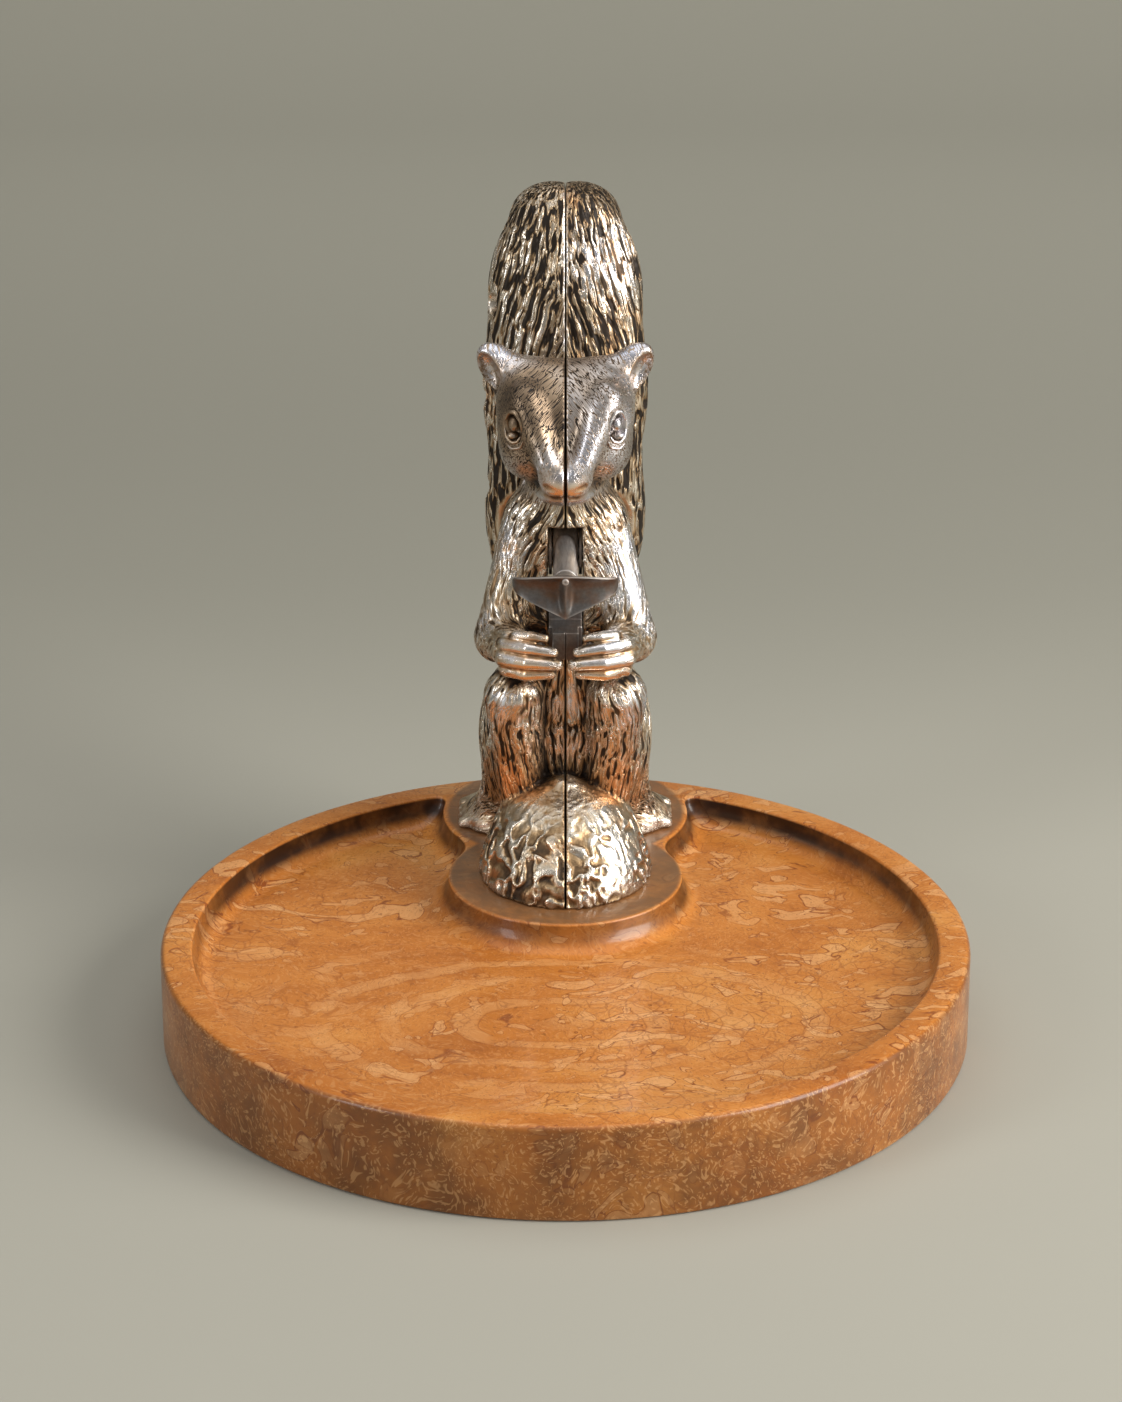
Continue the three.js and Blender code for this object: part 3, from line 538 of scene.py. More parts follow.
def face_form(q, d):
    """Brows, eye sockets, nose, mouth and ears."""
    d = blended(d, limb_distance(q, (12.6, 55.8, 190.0), (5.4, 46.6, 171.6), 4.8, 3.8), 3)
    d = blended(d, ball_distance(q, (0, 46.2, 166.4), (8.0, 4.2, 5.2)), 3)
    d = blended(d, ball_distance(q, (0, 52.5, 160.6), (9.5, 7.5, 4.2)), 3)
    mouth = [(0, 43.4, 161.4), (6.5, 45.2, 161.0), (13.0, 50.5, 163.2)]
    for start, end in zip(mouth, mouth[1:]):
        d = carved(d, limb_distance(q, start, end, 0.15, 0.1), 1.6)
    d = carved(d, limb_distance(q, (3.4, 41.6, 164.2), (6.4, 43.2, 165.2), 0.4, 0.8), 1.0)
    d = carved(d, ball_distance(q, eye_middle, (3.6, 3.0, 4.8)), 1.2)
    place, radii, lean = ear
    web = limb_distance(q, (10, 70, 191.5), (20.5, 71.5, 197.5), 6.6, 3.2)
    d = blended(d, blended(ball_distance(leaning(q, place, lean), place, radii), web, 5), 2.5)
    place, radii, lean = ear_hollow
    return carved(d, ball_distance(leaning(q, place, lean), place, radii), 0.9)


def paw_form(q, d):
    """A fist of four rounded fingers, stacked, whose tips point at the seam."""
    d = blended(d, limb_distance(q, *palm), 2.5)
    for knuckle, bend, tip, first, last in fingers:
        middle = (first + last) / 2
        finger = np.minimum(limb_distance(q, knuckle, bend, first, middle),
                            limb_distance(q, bend, tip, middle, last))
        d = blended(d, finger, 0.6)
    return d


def rock_form(q):
    d = limb_distance(q, *rock_peak)
    for at, radii in rock_balls:
        d = blended(d, ball_distance(q, at, radii), 5)
    return d


def foot_form(q, d):
    """Toes of the hind feet, and the rock in front of them."""
    for n in range(4):
        toe = limb_distance(q, (22, 81 + 5.2 * n, 37.5), (33.6, 83.6 + 5.2 * n, 32.6), 3.4, 2.1)
        d = blended(d, toe, 0.9)
    return blended(d, rock_form(q), 1.6)


def squirrel_half(side):
    """The form of one casting, with its seam face, the lever's well and the screws' rooms."""

    def field(p):
        q = folded(p)
        skin = squirrel_form(q)
        reach, angle = round_pin(q)
        # The round back that the tail's foot slides over.
        wedge = np.maximum(np.maximum(angle - 50, -56 - angle) * reach * degree, 23.2 - reach)
        d = carved(skin, wedge, 1.2)
        narrow = q[:, 0] - slot_half
        slot = np.maximum(slab(q, 1, -10, pin_y), slab(q, 2, pin_z - 8.2, pin_z + 12.2))
        anvil_room = np.maximum(slab(q, 1, 44.7, 64.3), slab(q, 2, pin_z - 28, pin_z))
        for room in (slot, anvil_room):
            d = carved(d, np.maximum(narrow, room), 0.8)
        rear_low = pin_z - 10.2 - (q[:, 1] - pin_y) * math.tan(math.radians(swing))
        rear = np.maximum(np.maximum(pin_y - q[:, 1], rear_low - q[:, 2]), q[:, 2] - (pin_z + 7.2))
        d = np.maximum(d, -np.maximum(narrow, np.minimum(reach - hub_room, rear)))
        d = bored(d, q, pin_y, pin_z, pin_bore, 15.3)
        d = bored(d, q, *anvil_pin_at, anvil_pin_bore, 8.3)
        for place in tie_places.values():
            d = screwed(d, q, side, place, 4.0, 2.15, 10.3)
        for x, y in screw_places:
            if x > 0:
                bore_room = np.hypot(q[:, 0] - x, q[:, 1] - y) - 2.55
                d = np.maximum(d, -np.maximum(bore_room, q[:, 2] - 43.6))
        nose = np.exp(-((q[:, 1] - 44) / 8) ** 2 - ((q[:, 2] - 166) / 16) ** 2)
        groove = np.maximum(q[:, 0] - seam_half - 0.30 * nose, -seam_depth - skin)
        d = carved(d, groove, 0.4 + 0.4 * nose)
        return np.maximum(np.maximum(d, seam_gap - q[:, 0]), tray_height + 0.3 - q[:, 2])

    return field


def surface_net(field, low, high, step):
    """The skin of a field as quads, found on a coarse grid first and then on a fine one."""
    coarse = 4 * step
    counts = np.ceil((np.array(high) - low) / coarse).astype(int) + 1
    axes = [low[a] + coarse * np.arange(counts[a]) for a in range(3)]
    grid = np.stack(np.meshgrid(*axes, indexing="ij"), -1).reshape(-1, 3)
    rough = field(grid).reshape(counts)
    fine_counts = (counts - 1) * 4 + 1
    values = np.where(rough < 0, -9.0, 9.0).repeat(4, 0).repeat(4, 1).repeat(4, 2)
    values = values[:fine_counts[0], :fine_counts[1], :fine_counts[2]].copy()
    close = np.abs(rough) < coarse * 1.9
    spread = close.copy()
    for axis in range(3):
        for shift in (1, -1):
            spread |= np.roll(close, shift, axis)
    mask = np.zeros(tuple(counts * 4), bool)
    mask[:] = spread.repeat(4, 0).repeat(4, 1).repeat(4, 2)
    mask = mask[:fine_counts[0], :fine_counts[1], :fine_counts[2]]
    index = np.argwhere(mask)
    values[mask] = field(np.array(low) + index * step)
    inside = values < 0
    shape = np.array(values.shape) - 1
    total, hits = np.zeros((*shape, 3)), np.zeros(shape)
    corners = [(i, j, k) for i in (0, 1) for j in (0, 1) for k in (0, 1)]

    def part(array, corner):
        return array[tuple(slice(c, c + n) for c, n in zip(corner, shape))]

    for corner in corners:
        for axis in range(3):
            if corner[axis]:
                continue
            other = tuple(c + (a == axis) for a, c in enumerate(corner))
            va, vb = part(values, corner), part(values, other)
            crossed = part(inside, corner) != part(inside, other)
            share = np.where(crossed, va / np.where(crossed, va - vb, 1), 0)
            for a in range(3):
                total[..., a] += np.where(crossed, corner[a] + share * (a == axis), 0)
            hits += crossed
    used = hits > 0
    number = -np.ones(shape, int)
    number[used] = np.arange(used.sum())
    cells = np.argwhere(used)
    p = np.array(low) + (cells + total[used] / hits[used][:, None]) * step
    quads = []
    for axis in range(3):
        u, v = (axis + 1) % 3, (axis + 2) % 3
        lower = [slice(1, None)] * 3
        lower[axis] = slice(0, None)
        here = inside[tuple(slice(1, -1) if a != axis else slice(0, -1) for a in range(3))]
        there = inside[tuple(slice(1, -1) if a != axis else slice(1, None) for a in range(3))]
        crossing = np.argwhere(here != there)
        offset = np.array([0 if a == axis else 1 for a in range(3)])
        base = crossing + offset
        flip = here[tuple(crossing.T)]
        around = []
        for du, dv in ((0, 0), (1, 0), (1, 1), (0, 1)):
            cell = base.copy()
            cell[:, u] -= du
            cell[:, v] -= dv
            around.append(number[tuple(cell.T)])
        quad = np.stack(around, 1)
        quad[~flip] = quad[~flip][:, ::-1]
        quads.append(quad)
    quads = np.concatenate(quads)
    for _ in range(2):
        p = np.clip(onto_level(field, p, 0, 1), p - step, p + step)
    return p, quads[(quads >= 0).all(1)]


# How the fur lies: at each place the hair runs this way, in millimetres and on the side X > 0.
fur_lay = [
    ((4, 50, 178), (0.62, -0.35, -0.75), 9), ((8, 62, 196), (0.6, -0.6, -0.5), 12),
    ((4, 45, 169), (0.45, -0.5, -0.75), 7), ((16, 60, 170), (0.3, 0.5, -0.9), 9),
    ((5, 58, 152), (0.55, 0, -0.85), 9), ((16, 80, 175), (0.1, 0.5, -1.0), 16),
    ((10, 56, 140), (0.6, 0.1, -0.9), 9), ((20, 66, 132), (0.25, -0.1, -1.0), 12),
    ((24, 60, 112), (-0.1, -0.5, -0.9), 8), ((18, 50, 109), (-0.8, -0.6, 0.1), 9),
    ((8, 60, 92), (0.12, 0, -1.0), 9), ((20, 52, 92), (0.35, 0.2, -0.9), 9),
    ((20, 54, 62), (-0.22, 0.15, -1.0), 14), ((27, 72, 75), (0.1, -0.3, -1.0), 14),
    ((28, 88, 38), (0.95, -0.25, -0.25), 10), ((10, 98, 110), (0.15, 0.1, -1.0), 20),
    ((0, 104, 60), (0.3, 0.2, -1.0), 18),
]
tail_lay = [
    ((0, 90, 235), (-0.05, 0.35, 1.0), 18), ((20, 90, 220), (-0.5, 0.1, 1.0), 22),
    ((10, 88, 190), (-0.28, 0, 1.0), 22), ((24, 95, 180), (-0.12, 0, 1.0), 22),
    ((8, 88, 150), (0.10, 0, 1.0), 22), ((24, 95, 140), (0.05, 0, 1.0), 22),
    ((0, 118, 220), (0.15, 0.2, 1.0), 22), ((0, 114, 160), (0.2, 0, 1.0), 26),
]
strand_length = 17.0


def lay_of(p, lay, rise=-1):
    """The hair's direction at each point, and how far along the coat it lies, which grows upwards
    where rise is 1 and downwards where it is -1."""
    way, along, weight = np.zeros_like(p), np.zeros(len(p)), np.full(len(p), 1e-9)
    for place, direction, reach in lay:
        direction = np.array(direction) / np.linalg.norm(direction)
        off = p - np.array(place, float)
        w = np.exp(-(off * off).sum(1) / reach**2) + 1e-5
        way += w[:, None] * direction
        along += w * (off @ direction + rise * place[2])
        weight += w
    return way / weight[:, None], along / weight


def lay_grid(form, lay, low, high, step=2.0):
    """The hair's direction along the skin, on a grid near the form."""
    low = np.array(low, float)
    counts = np.ceil((np.array(high) - low) / step).astype(int) + 1
    index = np.indices(counts).reshape(3, -1).T
    p = low + index * step
    near = np.abs(form(p)) < 3 * step
    normal = normal_of(form, p[near], 0.3)
    way, _ = lay_of(p[near], lay)
    way -= (way * normal).sum(1)[:, None] * normal
    way /= np.linalg.norm(way, axis=1)[:, None] + 0.12
    grid = np.zeros((*counts, 3))
    grid[tuple(index[near].T)] = way
    return grid, low, step


def from_grid(p, grid, low, step):
    """Values of a grid at any points, blended from the eight nodes round each."""
    at = np.clip((p - low) / step, 0, np.array(grid.shape[:3]) - 1.001)
    base = at.astype(int)
    share = at - base
    total = 0
    for corner in np.ndindex(2, 2, 2):
        w = np.prod(np.where(np.array(corner), share, 1 - share), axis=1)
        total = total + w[:, None] * grid[tuple((base + corner).T)]
    return total


def traced_back(p, distance, grid, steps=12):
    """Where each point comes from if it goes back along the hair by a distance."""
    at = p.copy()
    for _ in range(steps):
        at = at - from_grid(at, *grid) * (distance / steps)[:, None]
    return at


def set_attribute(made, name, values):
    values = np.asarray(values, np.float32)
    kind = "FLOAT_VECTOR" if values.ndim == 2 else "FLOAT"
    layer = made.data.attributes.new(name, kind, "POINT")
    layer.data.foreach_set("vector" if values.ndim == 2 else "value", values.ravel())


def comb(made, p, lay, grid, rise=-1, length=strand_length):
    """Gives each point of a casting the two roots of its strands and how far it is between them."""
    q = folded(p)
    _, along = lay_of(q, lay, rise)
    shares = []
    for name, offset in (("root_a", 0.0), ("root_b", 0.5)):
        phase = np.mod(along / length + offset, 1.0)
        root = traced_back(q, phase * length, grid)
        set_attribute(made, name, root * 0.001)
        shares.append(1 - np.abs(2 * phase - 1))
    set_attribute(made, "root_share", shares[0] / np.maximum(shares[0] + shares[1], 1e-6))


def hollow_share(form, p):
    """How far each point of a skin lies in a hollow, from 0 to 1, found a little way outside it."""
    normal, deep = normal_of(form, p, 0.2), np.zeros(len(p))
    for reach, gain in ((1.4, 2.0), (5.0, 0.6)):
        deep = np.maximum(deep, gain * (0.97 - form(p + normal * reach) / reach))
    return np.clip(deep, 0, 1)


def near_places(p, places):
    """A mask that is 1 close to any of some places, each with its reach."""
    mask = np.zeros(len(p))
    for place, reach in places:
        mask = np.maximum(mask, np.exp(-(((p - np.array(place)) / reach) ** 2).sum(1)))
    return mask


def strand_height(nodes, roots, share, offset, scale):
    """The strands' height from 0 to 1, the same in the mesh and in the finish."""
    sides = []
    for n, root in enumerate(roots):
        moved = nodes.vector("ADD", nodes.vector("ADD", root, offset), (n * 0.37, n * 0.11, 0))
        sides.append(nodes.minus(nodes.noise(moved, scale, 0.8, 0.4), 0.5))
    other = nodes.minus(1.0, share)
    total = nodes.plus(nodes.mul(sides[0], share), nodes.mul(sides[1], other))
    power = nodes.math("SQRT", nodes.plus(nodes.mul(share, share), nodes.mul(other, other)))
    return nodes.plus(nodes.math("DIVIDE", total, power), 0.5)


def rock_height(nodes, where, scale):
    """The rock's polished worm-like ledges over dark hollows, from 0 to 1, smoother near its peak."""
    swirl = nodes.vector("SCALE", nodes.noise(where, 55, 2).outputs["Color"], 0.016)
    bent = nodes.vector("ADD", where, swirl)
    long = nodes.vector("MULTIPLY", bent, (1.0, 1.0, 0.55))
    worm = nodes.away(nodes.noise(long, scale, 1.0, 0.5), 0.5, 0.100, 0.025, 0.15, 1.0)
    flat = nodes.patches(bent, 62, 1.0, 0.5, 0.51, 0.62)
    flat = nodes.most(flat, nodes.range(nodes.split(where)[2], 0.046, 0.058, 0.0, 0.9))
    striped = nodes.vector("MULTIPLY", bent, (1.0, 1.0, 0.22))
    fine = nodes.patches(striped, 620, 1.5, 0.5, 0.36, 0.50, 0.72, 0.92)
    return nodes.blend(worm, fine, flat)


def new_group(name, kind, inputs, outputs):
    """A node group with its sockets, its nodes, what it is given, and its inputs' identifiers."""
    tree = bpy.data.node_groups.new(name, kind)

    def sockets(wanted, way):
        return {socket: tree.interface.new_socket(
            socket, in_out=way, socket_type="NodeSocket" + value).identifier
            for socket, value in wanted.items()}

    known = sockets(inputs, "INPUT")
    sockets(outputs, "OUTPUT")
    nodes = Nodes(tree)
    return tree, nodes, nodes.add("NodeGroupInput").outputs, known


def relief_tree():
    """Cuts the strands and the rock's hollows into a casting, and leaves the fine hair to the bump."""
    tree, nodes, given, sockets = new_group("cut_relief", "GeometryNodeTree", {
        "Geometry": "Geometry", "Strand Scale": "Float", "Strand Depth": "Float",
        "Rock Scale": "Float", "Rock Depth": "Float", "Offset": "Vector"}, {"Geometry": "Geometry"})
    roots = [nodes.stored("root_a", "FLOAT_VECTOR"), nodes.stored("root_b", "FLOAT_VECTOR")]
    strand = strand_height(nodes, roots, nodes.stored("root_share"), given["Offset"],
                           given["Strand Scale"])
    cut = nodes.minus(nodes.range(strand, 0.32, 0.52), 1.0)
    coarse = nodes.minus(1.0, nodes.mul(nodes.stored("fine_hair"), 0.9))
    fur = nodes.mul(nodes.mul(cut, given["Strand Depth"]), nodes.mul(nodes.stored("fur"), coarse))
    rock = rock_height(nodes, nodes.add("GeometryNodeInputPosition"), given["Rock Scale"])
    stone = nodes.mul(nodes.minus(rock, 0.8), nodes.mul(given["Rock Depth"], nodes.stored("rock")))
    push = nodes.vector("SCALE", nodes.add("GeometryNodeInputNormal"), nodes.plus(fur, stone))
    moved = nodes.add("GeometryNodeSetPosition", {"Geometry": given["Geometry"], "Offset": push})
    nodes.add("NodeGroupOutput", {"Geometry": moved})
    return tree, sockets


cut_relief, relief_input = relief_tree()


def kept_mesh(made):
    """Turns a piece's modifiers into its own mesh."""
    bpy.context.view_layer.update()
    mesh = bpy.data.meshes.new_from_object(made.evaluated_get(bpy.context.evaluated_depsgraph_get()))
    made.modifiers.clear()
    made.data = mesh
    return mesh


def run_tree(made, tree, sockets, values):
    """Runs a tree on a piece with the values of its named inputs, and keeps the mesh."""
    modifier = made.modifiers.new(tree.name, "NODES")
    modifier.node_group = tree
    for name, value in values.items():
        modifier[sockets[name]] = value
    kept_mesh(made).shade_smooth()


def casting_group():
    """The relief and the tone of the strands and the rock, for the bump and the colour."""
    tree, nodes, given, _ = new_group("casting_marks", "ShaderNodeTree", {
        "Offset": "Vector", "Strand Scale": "Float", "Rock Scale": "Float", "Cut": "Float"},
        dict.fromkeys(("Height", "Tone", "Fine", "Copper", "White"), "Float"))

    def stored(name, output="Fac"):
        return nodes.add("ShaderNodeAttribute", attribute_name=name).outputs[output]

    where = nodes.place()
    wave = nodes.vector("SCALE", nodes.noise(where, 130, 1).outputs["Color"], 0.0022)
    roots = [nodes.vector("ADD", stored(name, "Vector"), wave) for name in ("root_a", "root_b")]
    share = stored("root_share")
    strand = strand_height(nodes, roots, share, given["Offset"], given["Strand Scale"])
    finer = strand_height(nodes, roots, share, (0.7, 0.3, 0.1), nodes.mul(given["Strand Scale"], 1.9))

    groove = nodes.range(nodes.minus(strand, given["Cut"]), 0.345, 0.45)
    line = nodes.away(finer, 0.5, 0.005, 0.06)
    ridge = nodes.plus(0.56, nodes.mul(nodes.range(strand, 0.45, 0.68), 0.34))
    coarse_fur = nodes.mul(nodes.mul(groove, ridge), nodes.plus(0.42, nodes.mul(line, 0.58)))
    fine_fur = nodes.plus(0.14, nodes.mul(nodes.away(finer, 0.48, 0.010, 0.070), 0.48))
    fine_hair, wear_and_highlight, patina_and_shade = (stored(name) for name in ("fine_hair", "wear_and_highlight", "patina_and_shade"))
    speck = nodes.noise(where, 300, 4, 0.65)
    plain = nodes.range(speck, 0.28, 0.62, 0.60, 0.78)
    stone = nodes.mul(rock_height(nodes, where, given["Rock Scale"]),
                      nodes.range(speck, 0.3, 0.6, 0.58, 0.94))
    furred = nodes.blend(plain, nodes.blend(coarse_fur, fine_fur, fine_hair), stored("fur"))
    tone = nodes.blend(furred, stone, stored("rock"))
    relief = nodes.blend(0.6, tone, nodes.minus(1.0, nodes.mul(wear_and_highlight, 0.7)))
    blot = nodes.patches(where, 60, 3, 0.6, 0.54, 0.68)
    copper = nodes.mul(blot, nodes.range(line, 0.0, 1.0, 0.9, 0.5))
    copper = nodes.mul(copper, nodes.minus(1.0, fine_hair))
    # The tone rises with wear and painted highlight, and falls with patina and painted shade.
    nodes.add("NodeGroupOutput", {
        "Height": relief,
        "Tone": nodes.minus(nodes.plus(tone, nodes.mul(wear_and_highlight, 0.24)), nodes.mul(patina_and_shade, 0.62)),
        "Fine": nodes.noise(where, 1500, 2, 0.6),
        "Copper": nodes.plus(copper, stored("copper"), True),
        "White": nodes.most(fine_hair, nodes.mul(wear_and_highlight, 0.8))})
    return tree


casting_marks = casting_group()
rock_scale = 190.0


def casting_material(name, offset, strand_scale, shade, cut):
    """Silvery plate over bronze: dark patina in the grooves, copper where the plate has gone."""
    made, nodes, out, where = new_material(name)
    marks = nodes.add("ShaderNodeGroup", node_tree=casting_marks)
    for key, value in (("Offset", offset), ("Strand Scale", strand_scale),
                       ("Rock Scale", rock_scale), ("Cut", cut)):
        marks.inputs[key].default_value = value
    height, tone, fine, copper, white = marks.outputs
    drift = nodes.patches(where, 32, 3, 0.6, 0.32, 0.68, -0.14, 0.12)
    level = nodes.plus(nodes.plus(tone, drift), shade)
    colour = nodes.ramp(level, [
        (0.00, (0.020, 0.013, 0.008)), (0.16, (0.12, 0.072, 0.036)), (0.34, (0.42, 0.280, 0.150)),
        (0.56, (0.60, 0.495, 0.370)), (0.92, (0.86, 0.820, 0.760))])
    warm = nodes.ramp(level, [
        (0.02, (0.035, 0.015, 0.006)), (0.22, (0.34, 0.155, 0.060)), (0.50, (0.80, 0.47, 0.235)),
        (0.90, (0.95, 0.74, 0.52))])
    whiter = nodes.mix(1.0, colour, (0.92, 1.03, 1.34, 1), "MULTIPLY")
    colour = nodes.mix(nodes.mul(white, 0.9), colour, whiter)
    tinted = nodes.mix(nodes.mul(copper, 0.85), colour, warm)
    rough = nodes.plus(nodes.range(level, 0.1, 0.8, 0.46, 0.25),
                       nodes.mul(nodes.minus(fine, 0.5), 0.10))
    lay_skin(nodes, out, tinted, (nodes.plus(height, nodes.mul(fine, 0.02)), 0.7, 0.0006),
             Roughness=rough, Metallic=nodes.range(level, 0.0, 0.35, 0.6, 1.0))
    return made


def tube(line, thickness, sides=10, steps=28):
    """A round cord along a smooth line through some places, thin at both ends."""
    line = np.array(line, float)
    at = np.linspace(0, len(line) - 1, steps)
    smooth = np.stack([np.interp(at, np.arange(len(line)), line[:, a]) for a in range(3)], 1)
    for _ in range(4):
        smooth[1:-1] = (smooth[:-2] + 2 * smooth[1:-1] + smooth[2:]) / 4
    way = np.gradient(smooth, axis=0)
    way /= np.linalg.norm(way, axis=1)[:, None]
    first = np.cross(way, (0.2, 1, 0.1))
    first /= np.linalg.norm(first, axis=1)[:, None]
    second = np.cross(way, first)
    swell = thickness * (0.12 + 0.88 * np.sin(np.linspace(0, math.pi, steps)) ** 0.6)
    turn = np.arange(sides) * 2 * math.pi / sides
    ring = first[:, None] * np.cos(turn)[:, None] + second[:, None] * np.sin(turn)[:, None]
    p = (smooth[:, None] + ring * swell[:, None, None]).reshape(-1, 3)
    f = [q for i in range(steps - 1) for q in strip(i * sides, (i + 1) * sides, sides)]
    f += [tuple(range(sides)), tuple(range((steps - 1) * sides, steps * sides))[::-1]]
    return p, f


def bead(at, radii, rings=18, sides=28):
    """A round bead, closed at both poles."""
    up = np.linspace(0, math.pi, rings + 1)[1:-1]
    turn = np.arange(sides) * 2 * math.pi / sides
    p = [(math.sin(u) * math.cos(t), math.sin(u) * math.sin(t), math.cos(u)) for u in up for t in turn]
    p = np.array(p + [(0, 0, 1), (0, 0, -1)]) * radii + at
    f = [q[::-1] for i in range(rings - 2) for q in strip(i * sides, (i + 1) * sides, sides)]
    top, low, last = len(p) - 2, len(p) - 1, (rings - 2) * sides
    f += [(top, i, (i + 1) % sides) for i in range(sides)]
    f += [(low, last + (i + 1) % sides, last + i) for i in range(sides)]
    return p, f


# The lids, as places across and above the middle of the eye.
eye_lines = [
    ([(-3.0, -1.4), (-2.6, 1.8), (-0.6, 4.2), (1.6, 3.9), (3.2, 0.6)], 0.85),
    ([(-2.8, -2.8), (-1.8, -5.0), (0.4, -5.8), (2.8, -4.4), (3.4, -1.6)], 0.6),
    ([(-4.2, -3.6), (-2.8, -6.4), (0.2, -7.6), (3.0, -6.4)], 0.5),
]


def eye_parts():
    """The eyeball and its lids, which are finer than the casting's own mesh."""
    parts = [bead(np.array(eye_middle) + (-0.3, 1.4, 0.3), (1.8, 2.6, 2.5)),
             bead(np.array(eye_middle) + (0.2, 1.5, -3.6), (1.9, 1.8, 1.3))]
    for line, thickness in eye_lines:
        places = [np.array(eye_middle) + u * np.array(eye_across) + (0, 0, v) for u, v in line]
        parts.append(tube(onto_level(squirrel_form, np.array(places), 0.1, 5), thickness))
    return parts


body_step = 0.7
body_scale, tail_scale = 900.0, 860.0
body_grid = lay_grid(squirrel_form, fur_lay, (-4, 14, 28), (40, 124, 212))
worn_places = [
    ((18, 66, 138), 8), ((24, 62, 112), 7), ((20, 49, 88), 6), ((12, 41, 109), 9), ((25, 60, 82), 7),
    ((22, 70, 200), 7), ((0, 44, 166), 5), ((8.5, 50, 180), 4), ((11, 53, 187), 4), ((6, 47, 172), 4)]
# A painted highlight on the belly strip between the shins, which lies in shade.
belly_highlight_places = [((2, 57, 86), 5), ((2, 57, 72), 6)]
bare_places = [((0, 44, 165), 6.5), ((16.8, 53, 182), 4.5), ((24, 66, 195), 5),
               ((11, 39, 109), 10), ((7, 46, 160), 4)]
smooth_places = [((26, 62, 122), 10), ((22, 54, 108), 9), ((24, 66, 136), 9)]
# Darker on the forehead, in the ears and under the cheeks.
darkened_places = [((0, 66, 199), 13, 0.25), ((24, 66, 194.5), 3.6, 0.75), ((15, 52, 159), 6, 0.5)]
copper_places = [((3, 41.5, 164), 3.6), ((11, 39, 102), 6), ((24, 66, 197), 3), ((16, 50, 62), 8.5),
                 ((11, 50, 144), 6)]
halves = {"left": -1, "right": 1}


def casting_piece(name, points, faces, hair, masks, strands, rock_depth):
    """The mesh of one casting, with how its hair lies, its masks and its relief."""
    scale, depth, offset = strands
    made = made_mesh(name, points, faces)
    comb(made, points, *hair)
    for mask, values in masks.items():
        set_attribute(made, mask, values)
    run_tree(made, cut_relief, relief_input, {
        "Strand Scale": scale, "Strand Depth": depth, "Rock Scale": rock_scale,
        "Rock Depth": rock_depth, "Offset": offset})
    return made


for name, side in halves.items():
    points, quads = surface_net(squirrel_half(side), (0.0, 14.0, 29.0), (40.0, 124.0, 212.0), body_step)
    faces = quads.tolist()
    on_skin = np.clip(1 - np.abs(squirrel_form(points)) / 0.5, 0, 1)
    for part, part_faces in eye_parts():
        faces += [tuple(i + len(points) for i in face) for face in part_faces]
        points = np.concatenate([points, part])
    q = points.copy()
    on_skin = np.concatenate([on_skin, np.zeros(len(points) - len(on_skin))])
    if side < 0:
        points, faces = points * (-1, 1, 1), [tuple(face)[::-1] for face in faces]
    rock = np.clip((0.9 - rock_form(q)) / 1.2, 0, 1) * on_skin
    edge = np.clip((q[:, 0] - 0.3) / 0.6, 0, 1)
    feet = np.clip((40 - q[:, 2]) / 5, 0, 1) * np.clip((q[:, 1] - 70) / 8, 0, 1)
    bare = near_places(q, bare_places)
    furred = on_skin * edge * (1 - np.clip(bare * 1.4, 0, 0.94)) * (1 - rock)
    furred *= (1 - 0.8 * feet) * (1 - 0.5 * near_places(q, smooth_places))
    wear_and_highlight = np.maximum(near_places(q, worn_places), 0.95 * near_places(q, belly_highlight_places))
    # Darker in hollows: patina there, and painted shade.
    patina_and_shade = hollow_share(squirrel_form, q) * on_skin * (1 - 0.6 * feet)
    patina_and_shade *= 1 - 0.8 * near_places(q, [(eye_middle, 4)] + belly_highlight_places)
    # Darker along the seam: a dark joint, with painted shade in its groove.
    patina_and_shade = np.maximum(patina_and_shade, np.clip((seam_half + 0.35 - q[:, 0]) / 0.3, 0, 1))
    for place, reach, share in darkened_places:
        patina_and_shade = np.maximum(patina_and_shade, share * near_places(q, [(place, reach)]))
    # Painted highlights on the lamp side, and painted shade on the other side of the face.
    if side > 0:
        brightened = [((21, 62, 128), 11), ((24, 54, 88), 9), ((9, 51, 177), 10)]
        wear_and_highlight = np.maximum(wear_and_highlight, near_places(q, brightened))
    else:
        patina_and_shade = np.maximum(patina_and_shade, 0.42 * near_places(q, [((10, 55, 184), 15)]))
    masks = {
        "fur": furred, "rock": rock * edge, "wear_and_highlight": wear_and_highlight * on_skin, "patina_and_shade": patina_and_shade,
        "fine_hair": np.clip((q[:, 2] - 152) / 5, 0, 1) * np.clip((90 - q[:, 1]) / 10, 0, 1),
        "copper": np.clip(1.3 * near_places(q, copper_places), 0, 1)}
    offset = (0.0, 0.0, 0.0) if side < 0 else (0.23, 0.41, 0.13)
    casting = casting_piece(f"casting_{name}", points, faces, (fur_lay, body_grid), masks,
                            (body_scale, 0.0005, offset), 0.0014)
    # The left half is painted darker than the right: painted shade away from the lamp.
    plate = casting_material(f"plated_{name}", offset, body_scale, -0.05 + 0.05 * side, 0.01)
    shown(casting, plate, "stand", "plated", f"body_{name}")


# ---------------------------------------------------------------------------------------------
# The tail. It is cast in two halves like the body, and clamped on the lever's tang by three
# screws. Its long strands run up and towards the seam, and its tip curls back.

tail_balls = [
    ((0, 100.5, 137.5), (26.2, 12.96, 44.8)), ((0, 101, 178.5), (26.8, 13.5, 48.6)),
    ((0, 104.8, 209.2), (24.9, 12.96, 35.2)), ((4, 112.3, 233.1), (13.6, 11.3, 10.85))]
